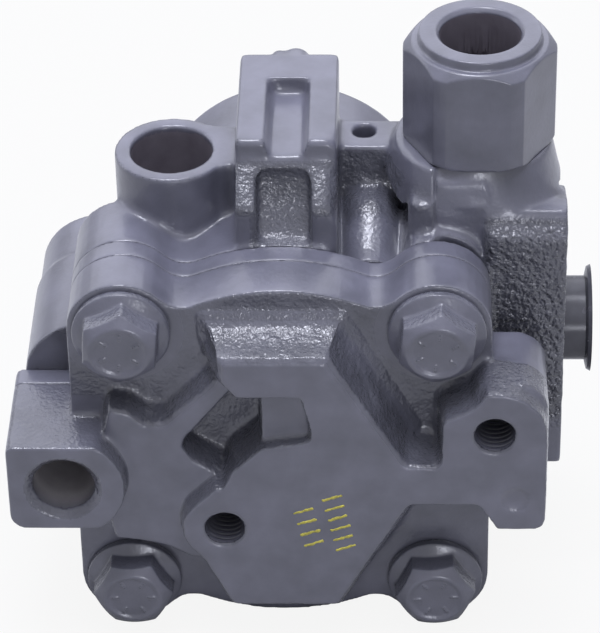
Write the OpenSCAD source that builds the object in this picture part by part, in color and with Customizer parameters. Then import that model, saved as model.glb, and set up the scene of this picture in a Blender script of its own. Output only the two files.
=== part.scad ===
// Vane type power steering pump, seen from its rear cover.
// Millimetres. X to the right of the cover, +Y along the shaft to the drive end, +Z up.
// The origin is on the shaft axis, in the plane of the machined rear mounting faces.

/* [Stations along the shaft] */
// Depth of the bolt seats below the rear mounting faces
seat_depth = 9.7; // [8.5:0.1:12]
// Depth of the left arm's cast face below the rear mounting faces
arm_depth = 4.2; // [3:0.1:6]
// Thickness of the cover's bolted flange
cover_flange_t = 9.5; // [8.5:0.1:12]
// Thickness of the middle plate
plate_t = 4.3; // [3.8:0.1:6]
// Length of the bolt bosses on the body
boss_len = 13.2; // [12.5:0.1:18]
// Length of the drum that holds the pump chamber
drum_len = 27; // [26:0.5:34]
// Length of the cone between the drum and the nose
shoulder_len = 13; // [8:0.5:18]
// Length of the round nose that holds the bearing
nose_len = 31.2; // [30:0.2:40]
// Length of shaft that stands out of the nose
shaft_out = 23; // [16:0.5:40]

/* [Bolted joint] */
// Half the distance between bolts, left to right
bolt_x = 28; // [27:0.1:31]
// Half the distance between bolts, top to bottom
bolt_z = 28.4; // [27:0.1:31]
// Radius of each bolt boss
lobe_r = 9.8; // [9:0.1:11]
// Radius of the round flange between the bosses
flange_r = 37; // [36:0.1:38.5]
// Radius of the hollows between the flange and the bosses
valley_r = 5; // [4:0.1:7]
// Nominal bolt diameter
bolt_d = 8; // [6:1:8]
// Length of thread in the body
bolt_grip = 10.5; // [8:0.5:11.5]
// Width of the bolt's hexagon across flats
bolt_hex = 13; // [11:0.5:13]
// Height of the whole bolt head
bolt_head_h = 7; // [5:0.1:8]
// Diameter of the bolt's washer flange
bolt_flange_d = 17.6; // [15:0.1:18.2]
// Thickness of the bolt's washer flange at its rim
bolt_flange_t = 1.4; // [1:0.1:2.5]

/* [Mounting ears] */
// Distance of the pivot bore from the shaft
ear_x = 39.2; // [39:0.1:41]
// Radius of the pivot bore
ear_bore_r = 5.6; // [4.2:0.1:6]
// Radius of the ear round its bore
ear_r = 11.2; // [10:0.1:12]
// Half height of the ear
ear_half_h = 9.3; // [8:0.1:10]
// Distance from the bore to the ear's outer end
ear_reach = 10; // [9.5:0.1:12]
// Right arm thread, distance right of the shaft
tap_right_x = 38.3; // [37.5:0.1:39.5]
// Right arm thread, height above the shaft
tap_right_z = 12.1; // [11:0.1:13]
// Radius of the right arm's boss
arm_r = 9.3; // [8.5:0.1:10]
// Left thread, distance left of the shaft
tap_left_x = 10.3; // [9.5:0.1:11]
// Left thread, distance below the shaft
tap_left_z = 9.5; // [8.5:0.1:10.5]
// Radius of the left thread's boss
tap_boss_r = 7.6; // [7:0.1:8.2]
// Radius of both tapped holes
tap_r = 3.4; // [2.5:0.1:4]
// Depth of both tapped holes
tap_depth = 11; // [8:0.5:11.5]

/* [Ports] */
// Suction port, distance left of the shaft
suction_x = 20; // [18:0.1:22]
// Distance of both ports from the body's rear face
port_y = 17.1; // [16:0.1:19]
// Height of the suction port's rim
suction_z = 46.5; // [45:0.1:52]
// Outer radius of the suction port
suction_r = 10.3; // [9.5:0.1:11]
// Bore radius of the suction port
suction_bore_r = 7.45; // [5:0.05:7.8]
// Depth of the suction bore
suction_depth = 17.5; // [12:0.5:19]
// Outlet union, distance right of the shaft
outlet_x = 35.6; // [35.2:0.1:36.5]
// Height of the outlet boss
outlet_boss_z = 49.7; // [48:0.1:54]
// Radius of the outlet boss
outlet_boss_r = 14; // [13.7:0.1:15]
// Width of the union's hexagon across flats
union_hex = 25; // [23:0.5:26]
// Height of the union's hexagon
union_hex_h = 20.1; // [16:0.1:26]
// Turn of the union's hexagon about its axis, in degrees
union_turn = -2; // [-30:1:29]
// Radius of the union's shank
shank_r = 10.9; // [10:0.1:11.2]
// Length of the union's shank
shank_len = 8; // [7:0.1:9]
// Minor radius of the union's internal thread
union_thread_r = 7.25; // [6:0.05:7.8]
// Depth of the union's internal thread
union_thread_depth = 15; // [10:0.5:18]
// Height of the side port above the shaft
side_port_z = 8.5; // [7:0.1:9]
// Bore radius of the side port
side_port_r = 7.9; // [6:0.1:8.2]
// Depth of the side port
side_port_depth = 9; // [7:0.5:9.5]

/* [Cast lug and blocks] */
// Distance of the lug's left side from the shaft
lug_left_x = 8; // [7:0.1:8.5]
// Distance of the lug's right side from the shaft
lug_right = 10.2; // [9.5:0.1:11]
// Height of the lug's top above the shaft
lug_top = 54; // [52:0.1:58]
// Width of the slot in the lug's top
lug_slot_w = 7.8; // [6:0.1:9]
// Depth of the slot in the lug's top
lug_slot_depth = 3.2; // [1.5:0.1:3.5]
// Width of the window in the lug's rear
lug_window_w = 9.8; // [8:0.1:11]
// Distance of the left block's outer wall from the shaft
left_reach = 47.4; // [46.5:0.1:49]
// Height of the left block's top above the shaft
left_top = 19.5; // [18:0.1:20.5]
// Depth of the left block's underside below the shaft
left_drop = 14; // [13:0.1:16]
// Distance of the valve block's outer wall from the shaft
block_right = 51.4; // [51:0.1:52.5]
// Height of the valve block's rear edge above the shaft
block_top = 41; // [40:0.1:43]
// Depth of the valve block's underside below the shaft
block_drop = 14; // [12.5:0.1:15]
// Height of the pad beside the lug
pad_top = 47; // [46:0.1:48]

/* [Vane pump] */
// Radius of the pump chamber
chamber_r = 28; // [27.6:0.1:28.2]
// Thickness of the cam ring
ring_t = 16; // [13:0.1:16.5]
// Thinnest wall of the cam ring
cam_wall = 5.5; // [5.2:0.1:5.8]
// Stroke of the cam
cam_stroke = 2.8; // [1.5:0.1:3.2]
// Thickness of the front pressure plate
front_plate_t = 5.5; // [5:0.1:6]
// Free height of the pressure plate's disc spring
disc_spring_h = 2.7; // [2.2:0.1:3.5]
// Gap between the rotor and the cam at its narrowest
rotor_gap = 0.7; // [0.4:0.1:1.2]
// Number of vanes
vane_count = 10; // [8:1:10]
// Thickness of a vane
vane_t = 1.8; // [1.2:0.1:2.2]
// Metal left in the rotor below each vane's slot
rotor_web = 1.7; // [1.5:0.1:2.5]
// Travel of a vane into its slot
vane_travel = 1.2; // [0.8:0.1:1.4]
// Diameter of the dowel pins
dowel_d = 4; // [3:0.1:4.4]

/* [Shaft and bearing] */
// Diameter of the drive shaft
shaft_d = 17; // [16:0.1:17.2]
// Outer diameter of the ball bearing
bearing_od = 40; // [39:0.5:42]
// Width of the ball bearing
bearing_w = 12; // [10:0.5:13]
// Diameter of the bearing's balls
ball_d = 6.7; // [6:0.1:7]
// Number of balls in the bearing
ball_count = 8; // [7:1:9]
// Radius of the nose
nose_r = 26.3; // [25:0.1:28]
// Outer radius of the shaft seal
seal_r = 14; // [13:0.1:15]
// Width of the shaft seal
seal_w = 7; // [6:0.5:8]

/* [Flow control valve] */
// Radius of the valve's spool
spool_r = 7; // [6.5:0.05:7.2]
// Length of the valve's spool
spool_len = 17; // [16.5:0.1:18]
// Travel of the spool against its spring
spool_travel = 4; // [2:0.1:4.2]
// Wire diameter of the valve spring
spring_wire = 1.2; // [0.8:0.1:1.4]
// Travel of the relief ball off its seat
relief_travel = 0.8; // [0.4:0.1:1]

/* [Hidden] */
$fn = 64;
fit = 0.03;          // running and seating clearance on radius
skin = 0.05;         // clearance round a seal in its groove

cover_seam = seat_depth + cover_flange_t;
body_seam = cover_seam + plate_t;
boss_end = body_seam + boss_len;
drum_end = body_seam + drum_len;
nose_start = drum_end + shoulder_len;
nose_end = nose_start + nose_len;
shaft_end = nose_end + shaft_out;
port_axis = body_seam + port_y;

ring_end = body_seam + ring_t;
front_plate_end = ring_end + front_plate_t;
chamber_end = front_plate_end + disc_spring_h;
drum_r = flange_r - 0.5;

bolt_r = bolt_d / 2;
bolt_shank = cover_flange_t + plate_t + bolt_grip;
bolt_dome = 1.2;             // rise of the washer flange from its rim to the hexagon
bolt_chamfer = 1.9;
bolt_face_r = bolt_hex / 2 - 1.1;
bolt_corner_r = bolt_hex / 2 + 1.4;
tap_clear = 0.1;

shaft_r = shaft_d / 2;
pulley_r = shaft_r - 0.3;    // press seat of the pulley
bush_wall = 2;
bush_len = 6.4;
bush_sunk = 0.2;             // how far the bush sits below the cover's inner face
bush_r = shaft_r + bush_wall;
bush_end = cover_seam - bush_sunk;
bush_start = bush_end - bush_len;
snap_t = 1.2;
snap_start = body_seam - 1.5;
plate_bore_r = shaft_r + 2.3;
rotor_snap_r = shaft_r + 1.7;
snap_groove_depth = 0.6;

bearing_r = bearing_od / 2;
bearing_land = 3.9;
bearing_end = nose_end - bearing_land;
bearing_start = bearing_end - bearing_w;
nose_snap_start = bearing_end + 0.25;
nose_groove = 1.2;           // depth of the snap ring's groove in the nose
nose_snap_in = 2.6;          // how far the snap ring reaches in over the bearing
nose_snap_gap = 9;
snap_gap = 5;
shoulder_r = shaft_r + 1.4;
shaft_collar = 4;
shaft_chamfer = 1.2;
seal_web = 1.6;              // thickness of the shaft seal's metal back and of its lip
seal_case = 1;               // wall of the shaft seal's case
seal_lip = 2.4;              // distance of the sealing edge from the seal's end
seal_end = bearing_start - 5.6;
seal_start = seal_end - seal_w;
pitch_r = (shaft_r + bearing_r) / 2 - 0.2;

shank_bottom = outlet_boss_z - shank_len;
spool_top = shank_bottom - 0.2;
spool_bottom = spool_top - spool_len;
spool_skirt = 6;             // depth of the spool's spring pocket
spool_skirt_r = spool_r - 1.9;
spring_block = 3;            // height of the valve spring when the spool is fully down
valve_bottom = spool_bottom - spool_travel - spring_block;

tap_mouth = 0.7;             // countersink of the tapped holes
ear_mouth = 1.3;             // countersink of the pivot bore
step_chamfer = 1.1;          // rounded edge of the cover's raised centre
step_pad = 2.6;              // depth of the shallow step beside the top bar
dimple = [42.2, -2.4, 2.6, 0.6];   // cast mark on the right arm: x, z, radius, depth
seat_clear = 0.5;            // machined ring round each bolt flange
tap_right = [tap_right_x, tap_right_z];
tap_left = [-tap_left_x, -tap_left_z];
arm_right = tap_right_x + arm_r + 0.2;
arm_low = -9.3;
plateau_top = 28.1;
plateau_low = -27.2;

seal_section = 1.1;
seal_squeeze = 0.02;
seal_wall = 1.4;             // metal between the chamber and the groove round it
ring_seal_r = chamber_r + seal_wall + seal_section;   // both joints take the same sealing ring
cam_min_r = chamber_r - cam_wall - cam_stroke;
rotor_r = cam_min_r - rotor_gap;
dowel_wall = 2.5;            // metal between a dowel pin and the chamber's wall
dowel_z = chamber_r - dowel_wall - dowel_d / 2;
dowel_depth = 3;
dowel_end_gap = 0.2;
plate_window_r = 2.2;
suction_window = rotor_r + 1;
window_wall = 0.7;           // metal between the plate's bore and its pressure windows
pressure_window = plate_bore_r + plate_window_r + window_wall;

lug_left = -lug_left_x;
lug_mid = (lug_left + lug_right) / 2;
lug_rear = body_seam + 8;
lug_front = body_seam + 37.9;
lug_foot_z = 44.4;
lug_lip = 4;                 // height of the lug's upright rear edge
lug_end_wall = 8.8;          // metal in front of the lug's slot
lug_corner = 1.5;            // rounding of the lug's front corners
slot_draft = 0.9;            // how far the slot's walls lean out
lug_root = 30;               // height at which the lug runs into the body
window_mid = lug_mid - 0.5;
window_low = 34;
window_high = lug_foot_z + 4.5;
window_corner = 1.8;
window_deep = 7.5;           // depth of the window below its upper edge
window_cove = 17.5;          // radius of the hollow that runs from the window out to the rear face
left_front = body_seam + 36.2;
left_step = body_seam + 23.5;
left_inset = 0.5;
block_rear = body_seam + 0.7;
block_front = drum_end + 4.5;
block_lean = 1;              // how far the wall above the rear edge leans forward
block_ridge = block_top + 7.2;
block_crown = block_rear + 6;
neck_left = outlet_x - 11.7;
neck_right = block_right - 9;
neck_rear = body_seam + 4.2;
neck_top = block_top - 2.8;
neck_front = block_front - 2;
block_front_top = block_top - 16.8;
block_left = outlet_x + 1.4;
panel_low = 20;
panel = [outlet_x - 7.8, outlet_x + 2];   // raised panel under the outlet boss: left and right
panel_inset = 0.4;           // how far the panel stays behind the valve block's rear face
rib = [outlet_x - 10, body_seam + 5.2, 2.8, 44];   // round rib left of the panel: x, y, radius, top
outlet_flange_h = 7;
outlet_flange_r = outlet_boss_r + 2.2;
outlet_neck_r = 12.2;
flange_shift = 1;            // the cast outlet boss stands a little left of the union
side_port_floor = block_right - side_port_depth;
pad_hole = [14.9, port_axis + 5.3];
pad_hole_r = 2.1;
pad_hole_depth = 6;
pad_right = neck_left;
pad_root = 25;
pad_front = 9;
web_rear = [-8.4, -4.6];     // rear wall of the web at the suction port and at the lug, from the port's axis
web_front = [9, 7.2];        // front wall of the web at the suction port and at the lug
passage = [16, 33.4, 5.6];   // cast passage between the lug and the outlet: x, z, radius
suction_drill_r = 3.5;
valve_drill_r = 1.4;
damping_drill_r = 1.2;
side_drill_r = 2.4;

cam_steps = 72;
rotor_side = 0.05;
slot_foot_r = 1.3;
vane_tip_gap = 0.15;
vane_foot_gap = 0.1;
vane_tip = cam_min_r - vane_tip_gap;
slot_foot = shaft_r + rotor_web + slot_foot_r / 2;
vane_foot = slot_foot + vane_travel + vane_foot_gap;
vane_h = vane_tip - vane_foot;
front_plate_mid = (ring_end + front_plate_end) / 2;
plate_drill_r = 1.8;
disc_spring_t = 1;
disc_spring_in = shaft_r + 3.5;
disc_spring_out = chamber_r - 7.5;

ball_r = ball_d / 2;
bearing_mid = (bearing_start + bearing_end) / 2;
race_r = ball_r + 0.12;
ring_lip = 2.2;
cage_half_t = 0.8;
cage_w = 9;
shaft_tap_depth = 18;

union_top = outlet_boss_z + union_hex_h;
union_ring_h = 1.7;
union_bore_r = 3.6;
union_cone = 3;              // length of the cone below the thread
union_chamfer = 1.6;
union_corner_r = union_hex / 2 + 1.2;    // the hexagon's corners are turned off to this radius
union_foot_r = union_hex / 2 + 0.6;
union_ring_r = [union_hex / 2 - 1.4, union_hex / 2 - 1.6];   // raised ring on the top: foot and crest
union_seal_section = 0.9;
union_seal_z = outlet_boss_z - 2.4;

relief_bore_r = 2.5;
relief_seat_h = 3;
relief_seat_r = 1.5;
relief_hole_r = 0.9;
relief_ball_r = 1.6;
relief_wire = 0.5;
relief_coil_r = 1.7;
relief_spring_block = 4;
relief_seat_bottom = spool_top - relief_seat_h;
relief_ball_z = relief_seat_bottom + relief_seat_r - sqrt(2) * (relief_ball_r + fit);
relief_floor = relief_ball_z - relief_ball_r - relief_travel - relief_spring_block;
waist_h = 3;
waist_depth = 1.2;
waist_low = relief_floor + 2;
spool_drill_r = 0.8;
spring_steps = 20;           // stations per turn of the valve spring
relief_turns = 4;
relief_steps = 14;
spring_mean_r = spool_skirt_r - spring_wire / 2 - 0.25;
spring_low = valve_bottom + spring_wire / 2 + skin;
spring_high = spool_bottom + spool_skirt - spring_wire / 2 - skin;
spring_turns = 5;
spring_sides = 10;

plug_out = 5;
plug_flange_r = 10;
plug_wall = 1.2;
plug_floor = 2.2;
bolt_turns = [[-1, 1, 34], [1, 1, 36], [-1, -1, -1], [1, -1, -5]];   // side, height, turn of each head

paint = "#2b2b31";
steel = "#9a9ca3";
dark_steel = "#55575e";
bronze = "#a8854f";
rubber = "#1b1b1d";

// Points of an arc
function arc(c, r, from, to, n = 8) =
    [for (i = [0 : n]) let (a = from + (to - from) * i / n) c + r * [cos(a), sin(a)]];

// A closed outline from corners [x, y, radius], each corner rounded by an arc
function unit(v) = v / norm(v);
function corner(a, b, c, r, n = 6) =
    let (u = unit([a.x - b.x, a.y - b.y]), v = unit([c.x - b.x, c.y - b.y]),
         half = acos(u * v) / 2, reach = r / tan(half),
         mid = [b.x, b.y] + unit(u + v) * r / sin(half),
         p = [b.x, b.y] + u * reach - mid, q = [b.x, b.y] + v * reach - mid,
         s = atan2(p.y, p.x), d = atan2(q.y, q.x) - s,
         turn = d > 180 ? d - 360 : d < -180 ? d + 360 : d)
    r <= 0 ? [[b.x, b.y]] : arc(mid, r, s, s + turn, n);
function rounded(pts) = let (n = len(pts))
    [for (i = [0 : n - 1]) each corner(pts[(i + n - 1) % n], pts[i], pts[(i + 1) % n], pts[i].z)];

// Prism along Y of an outline drawn in X and Z
module along_y(from, to) {
    translate([0, to, 0]) rotate([90, 0, 0]) linear_extrude(to - from) children();
}

module rod_y(from, to, r, x = 0, z = 0) {
    translate([x, to, z]) rotate([90, 0, 0]) cylinder(h = to - from, r = r);
}

module cone_y(from, to, r_from, r_to, x = 0, z = 0) {
    translate([x, from, z]) rotate([-90, 0, 0]) cylinder(h = to - from, r1 = r_from, r2 = r_to);
}

// Body of revolution about the shaft: the outline's x is the radius, its y is the station
module turned() {
    rotate([-90, 0, 0]) rotate_extrude() children();
}

module ring_y(from, to, r_in, r_out) {
    turned() translate([r_in, from]) square([r_out - r_in, to - from]);
}

module torus(r, section_r) {
    rotate_extrude() translate([r, 0]) circle(section_r);
}

module at_bolts() {
    for (sx = [-1, 1], sz = [-1, 1]) translate([sx * bolt_x, 0, sz * bolt_z]) children();
}

// An outline cut into triangles, one ear at a time
function side(a, b, c) = (b.x - a.x) * (c.y - a.y) - (b.y - a.y) * (c.x - a.x);
function within(p, a, b, c) = side(a, b, p) >= 0 && side(b, c, p) >= 0 && side(c, a, p) >= 0;
function is_ear(pts, ids, k) =
    let (n = len(ids), a = ids[(k + n - 1) % n], b = ids[k], c = ids[(k + 1) % n])
    side(pts[a], pts[b], pts[c]) > 0 && len([for (i = ids) if (i != a && i != b && i != c
        && within(pts[i], pts[a], pts[b], pts[c])) i]) == 0;
function first_ear(pts, ids, k = 0) =
    is_ear(pts, ids, k) || k == len(ids) - 1 ? k : first_ear(pts, ids, k + 1);
function ears(pts, ids) = let (n = len(ids)) n == 3 ? [ids] : let (k = first_ear(pts, ids))
    concat([[ids[(k + n - 1) % n], ids[k], ids[(k + 1) % n]]],
        ears(pts, [for (i = [0 : n - 1]) if (i != k) ids[i]]));

// Cast boss with drafted walls. Each row is [x, z, run_x, run_z]: a point of the face's outline and
// how far it moves out at the foot. Levels are [station, share of that run].
module drafted(rows, levels) {
    n = len(rows);
    m = len(levels);
    points = [for (l = levels, p = rows) [p[0] + p[2] * l[1], l[0], p[1] + p[3] * l[1]]];
    sides = [for (k = [0 : m - 2], i = [0 : n - 1]) let (a = k * n + i, b = k * n + (i + 1) % n)
        each [[a, b, b + n], [a, b + n, a + n]]];
    // the rows run anticlockwise as the cover is seen from behind
    flat = [for (p = points) [p.x, p.z]];
    face = ears(flat, [for (i = [0 : n - 1]) i]);
    foot = ears(flat, [for (i = [0 : n - 1]) (m - 1) * n + i]);
    polyhedron(points, concat([for (t = face) [t[2], t[1], t[0]]], sides, foot), convexity = 8);
}

function still(pts, run = 0, c = [0, 0]) = [for (p = pts)
    let (d = p - c, s = norm(d) > 0 ? run / norm(d) : 0) [p.x, p.y, d.x * s, d.y * s]];

// Outline shared by the cover, the middle plate and the body: four bosses and a round flange
lobe = [bolt_x, bolt_z];
lobe_far = norm(lobe);
reach_main = flange_r + valley_r;
reach_lobe = lobe_r + valley_r;
valley_a = (pow(lobe_far, 2) + pow(reach_main, 2) - pow(reach_lobe, 2)) / (2 * lobe_far);
valley_h = sqrt(pow(reach_main, 2) - pow(valley_a, 2));
valley = lobe / lobe_far * valley_a + [-lobe.y, lobe.x] / lobe_far * valley_h;
valley_turn = atan2(valley.y - lobe.y, valley.x - lobe.x);
valley_dir = atan2(valley.y, valley.x);
half_outline = let (quarter = concat(arc(lobe, lobe_r, 0, valley_turn, 12),
        arc(valley, valley_r, valley_turn - 180, valley_dir - 180, 6)))
    concat(quarter, arc([0, 0], flange_r, valley_dir, 180 - valley_dir, 14),
        [for (i = [len(quarter) - 1 : -1 : 0]) [-quarter[i].x, quarter[i].y]]);

module flange_outline() {
    polygon(concat(half_outline, -half_outline));
}

module ear_outline() {
    intersection() {
        union() {
            translate([-ear_x, 0]) circle(ear_r);
            polygon(rounded([[-ear_x - ear_reach, -ear_half_h, 3], [-ear_x, -ear_half_h, 0],
                [-ear_x, ear_half_h, 0], [-ear_x - ear_reach, ear_half_h, 1.5]]));
        }
        translate([-ear_x - ear_reach, -ear_half_h]) square([ear_x + ear_reach, 2 * ear_half_h]);
    }
}

module arm_outline() {
    polygon(rounded([[arm_right, arm_low, 2], [arm_right, tap_right_z + arm_r, 6],
        [tap_right_x - 2.6, tap_right_z + arm_r - 0.3, 2], [tap_right_x - 4.8, 17.4, 2],
        [bolt_x + 2, 15.6, 0], [bolt_x + 2, -3.5, 0],
        [35.5, -3.5, 0], [39, arm_low, 0]]));
}

// Face of the raised centre of the cover, and the run of its walls
plateau_rows = concat(
    [[-9.8, plateau_top, -4.6, 4.4], [-9.8, 24, -4.2, 0], [-7.6, 20.6, 0, 0], [-8.1, 4.5, -0.8, 0.5],
     [-11.6, 0, -0.8, 0.8]],
    still(arc(tap_left, tap_boss_r, 128, 214), 0.8, tap_left),
    [[-14.1, -16.6, -2, 0], [-9.6, -26, -2.5, -1], [-8.6, plateau_low, -2.5, -3],
     [9.8, plateau_low, 3, -3], [22.3, -4.2, 4, -2.3], [23.4, -3.5, 1, -3], [35.5, -3.5, 1, -2],
     [39, arm_low, 0.4, -0.3], [arm_right - 2, arm_low, 0, -0.3],
     [arm_right - 0.6, arm_low + 0.6, 0.2, -0.2], [arm_right - 0.2, arm_low + 2, 0.3, 0]],
    still(arc(tap_right, arm_r, 0, 100), 0.6, tap_right),
    [[35.6, 19.4, -0.4, 0.4], [34.4, 17.9, -0.2, 0.6], [32.4, 16.8, 0, 0.8], [29.6, 15.4, 0, 0.8],
     [29, 14.4, -0.8, 0], [28.9, 5.6, -0.8, 0.8], [28, 4.7, -0.5, 1],
     [22.6, 4.9, 1.5, 1.5], [21.4, 5.7, 3.4, 2.2], [8, plateau_top, 3.8, 4.4]]);

// Face of the left arm, one step lower
arm_rows = [[-31.5, 9, -1, 0], [-31.5, -10, -1, -0.5], [-30.2, -15, -1, -0.8], [-26.5, -15.4, 0, -1],
    [-21.6, -16.6, 0.2, -0.8], [-17, -19.4, 0.4, -0.6], [0, -19, 0, 0], [0, 24, 0, 0],
    [-9.5, 24, -1, 1], [-11.4, 19.8, -1.5, 1.5], [-19.8, 11.4, -1, 1.6], [-20.8, 10.8, -0.4, 1.8],
    [-24.2, 10.8, 0.4, 1.8], [-27.4, 13.6, 0.4, 1.6], [-30.3, 14.3, -0.6, 1.6]];

// Core pocket between the two steps
pocket_rows = [[-16.2, 3.2, 2, 1], [-10.6, -0.4, 0.6, 2.2], [-8.4, 4.2, -0.4, 1], [-3.4, 9, -0.4, 0.8],
    [-3.2, 12.6, -0.4, 0], [-3.4, 20.6, -0.4, -0.8], [-7.6, 20.6, 0.3, -1], [-17.4, 8, 1, -0.6],
    [-17.8, 6, 1.2, 0]];

module tapped(x, z) {
    translate([x, 0, z]) {
        rod_y(-1, tap_depth, tap_r);
        cone_y(tap_depth - 0.01, tap_depth + tap_r / 2, tap_r, 0);
        cone_y(-0.01, tap_mouth, tap_r + tap_mouth, tap_r);
    }
}

module seal_groove(r, open_at, depth) {
    ring_y(open_at - depth, open_at + 1, r - seal_section - skin, r + seal_section + skin);
}

module bolt_holes(from, to) {
    at_bolts() rod_y(from, to, bolt_r + tap_clear);
}

module dowel_holes(from, to) {
    for (s = [-1, 1]) rod_y(from, to, dowel_d / 2 + fit, 0, s * dowel_z);
}

module rear_cover() {
    color(paint) difference() {
        union() {
            along_y(seat_depth, cover_seam) flange_outline();
            along_y(0, cover_seam) ear_outline();
            along_y(step_chamfer * 3, cover_seam) arm_outline();
            drafted(arm_rows, [[arm_depth, 0], [arm_depth + 0.8, 0.4], [seat_depth + 0.5, 1]]);
            difference() {
                drafted(plateau_rows, [[0, 0], [step_chamfer, 0.25], [seat_depth + 0.5, 1]]);
                // shallow step beside the bar
                along_y(-1, step_pad) polygon([[-3.6, 20.6], [-3.4, 9], [-3, 9.2], [5.4, 10.7],
                    [5.6, 13.2], [3.9, 20.6]]);
            }
        }
        drafted(pocket_rows, [[-1, 0], [arm_depth, 0], [seat_depth, 1]]);
        tapped(tap_right_x, tap_right_z);
        tapped(-tap_left_x, -tap_left_z);
        rod_y(-1, cover_seam + 1, ear_bore_r, -ear_x);
        cone_y(-0.01, ear_mouth, ear_bore_r + ear_mouth, ear_bore_r, -ear_x);
        rod_y(-1, dimple[3], dimple[2], dimple[0], dimple[1]);
        at_bolts() rod_y(-1, seat_depth, bolt_flange_d / 2 + seat_clear);
        bolt_holes(0, cover_seam + 1);
        rod_y(bush_start - 0.2, cover_seam + 1, bush_r + fit);
        dowel_holes(cover_seam - dowel_depth, cover_seam + 1);
        seal_groove(ring_seal_r, cover_seam, 2 * seal_section + skin);
    }
}

module middle_plate() {
    color(paint) difference() {
        along_y(cover_seam, body_seam) union() {
            flange_outline();
            ear_outline();
        }
        rod_y(cover_seam - 1, body_seam + 1, plate_bore_r);
        rod_y(cover_seam - 1, body_seam + 1, ear_bore_r, -ear_x);
        bolt_holes(cover_seam - 1, body_seam + 1);
        dowel_holes(cover_seam - 1, body_seam + 1);
        // two suction windows and two pressure windows
        for (s = [-1, 1]) {
            rod_y(cover_seam - 1, body_seam + 1, plate_window_r, s * suction_window);
            rod_y(cover_seam - 1, body_seam + 1, plate_window_r, 0, s * pressure_window);
        }
    }
}

// Casting drawn in Y and Z, from one side to the other
module across(from, to) {
    translate([from, 0, 0]) rotate([90, 0, 90]) linear_extrude(to - from) children();
}

module lug() {
    difference() {
        intersection() {
            across(lug_left, lug_right) polygon(rounded([[lug_front, lug_top, 1], [lug_rear, lug_top, 0.8],
                [lug_rear, lug_top - lug_lip, 1.5], [body_seam + 0.6, lug_foot_z, 2],
                [body_seam + 0.1, lug_root, 0], [lug_front, lug_root - 10, 0]]));
            linear_extrude(lug_top + 1) polygon(rounded([[lug_left, body_seam, 0], [lug_right, body_seam, 0],
                [lug_right, lug_front, lug_corner], [lug_left, lug_front, lug_corner]]));
        }
        // slot in the top, open to the rear
        along_y(lug_rear - 1, lug_front - lug_end_wall) translate([lug_mid, lug_top]) polygon([
            [-lug_slot_w / 2 + slot_draft, -lug_slot_depth], [lug_slot_w / 2 - slot_draft, -lug_slot_depth],
            [lug_slot_w / 2 + slot_draft, lug_slot_depth], [-lug_slot_w / 2 - slot_draft, lug_slot_depth]]);
        // window between the two legs, hollowed out towards the rear face
        intersection() {
            along_y(body_seam - 1, body_seam + window_deep + 1) translate([window_mid, 0]) polygon(rounded([
                [-lug_window_w / 2, window_low, 0], [lug_window_w / 2, window_low, 0],
                [lug_window_w / 2, window_high, window_corner],
                [-lug_window_w / 2, window_high, window_corner]]));
            across(lug_left, lug_right) translate([body_seam + window_deep - window_cove, window_high])
                circle(window_cove);
        }
    }
}

// Outline of the block behind the pivot ear
module left_outline(inset) {
    polygon(rounded([[-left_reach + inset, -left_drop + inset, 8], [-8, -left_drop + inset, 0],
        [-8, left_top - inset, 0], [-left_reach + inset, left_top - inset, 11.5]]));
}

module left_block() {
    along_y(body_seam, left_step) left_outline(0);
    along_y(left_step, left_front) left_outline(left_inset);
}

module valve_block() {
    across(block_left, block_right) polygon(rounded([[block_rear, -block_drop, 2],
        [block_front, -block_drop, 6], [block_front, block_front_top, 6], [block_crown, block_ridge, 2],
        [block_rear + block_lean, block_ridge, 2], [block_rear, block_top, 3]]));
    // neck under the outlet boss and its raised panel
    across(neck_left, neck_right) polygon(rounded([[neck_rear, 0, 0], [neck_front, 0, 0],
        [neck_front, neck_top, 6], [neck_rear, neck_top, 2]]));
    across(panel[0], panel[1]) translate([panel_inset, 0]) polygon(rounded([[block_rear, panel_low, 0],
        [port_axis, panel_low, 0], [port_axis, block_ridge, 0], [block_rear + block_lean, block_ridge, 2],
        [block_rear, block_top, 3]]));
    translate([rib.x, rib.y, panel_low]) cylinder(h = rib[3] - panel_low, r = rib.z);
}

module outlet_boss() {
    translate([outlet_x - flange_shift, port_axis, 0]) {
        translate([0, 0, outlet_boss_z - outlet_flange_h])
            cylinder(h = outlet_flange_h, r1 = outlet_flange_r, r2 = outlet_boss_r);
        translate([0, 0, 10]) cylinder(h = outlet_boss_z - 11, r = outlet_neck_r);
    }
}

module body_casting() {
    along_y(body_seam, boss_end) flange_outline();
    turned() polygon([[0, body_seam], [drum_r, body_seam], [drum_r, drum_end - 2], [drum_r - 2, drum_end],
        [nose_r + 3, nose_start - 5], [nose_r, nose_start], [nose_r, nose_end - 1], [nose_r - 1, nose_end],
        [0, nose_end]]);
    left_block();
    valve_block();
    outlet_boss();
    lug();
    // suction port and the web that ties it to the lug
    translate([-suction_x, port_axis, 5]) cylinder(h = suction_z - 5, r = suction_r);
    translate([0, port_axis, lug_root]) linear_extrude(suction_z - lug_root)
        polygon([[-suction_x, web_rear[0]], [lug_left + 1, web_rear[1]], [lug_left + 1, web_front[1]],
            [-suction_x, web_front[0]]]);
    // pad right of the lug and the cast passage below it
    translate([0, port_axis, pad_root]) linear_extrude(pad_top - pad_root)
        polygon([[lug_right - 1, 0], [pad_right, -0.6], [pad_right, pad_front - 0.4],
            [lug_right - 1, pad_front]]);
    rod_y(body_seam, port_axis + 1, passage[2], passage[0], passage[1]);
}

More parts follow.
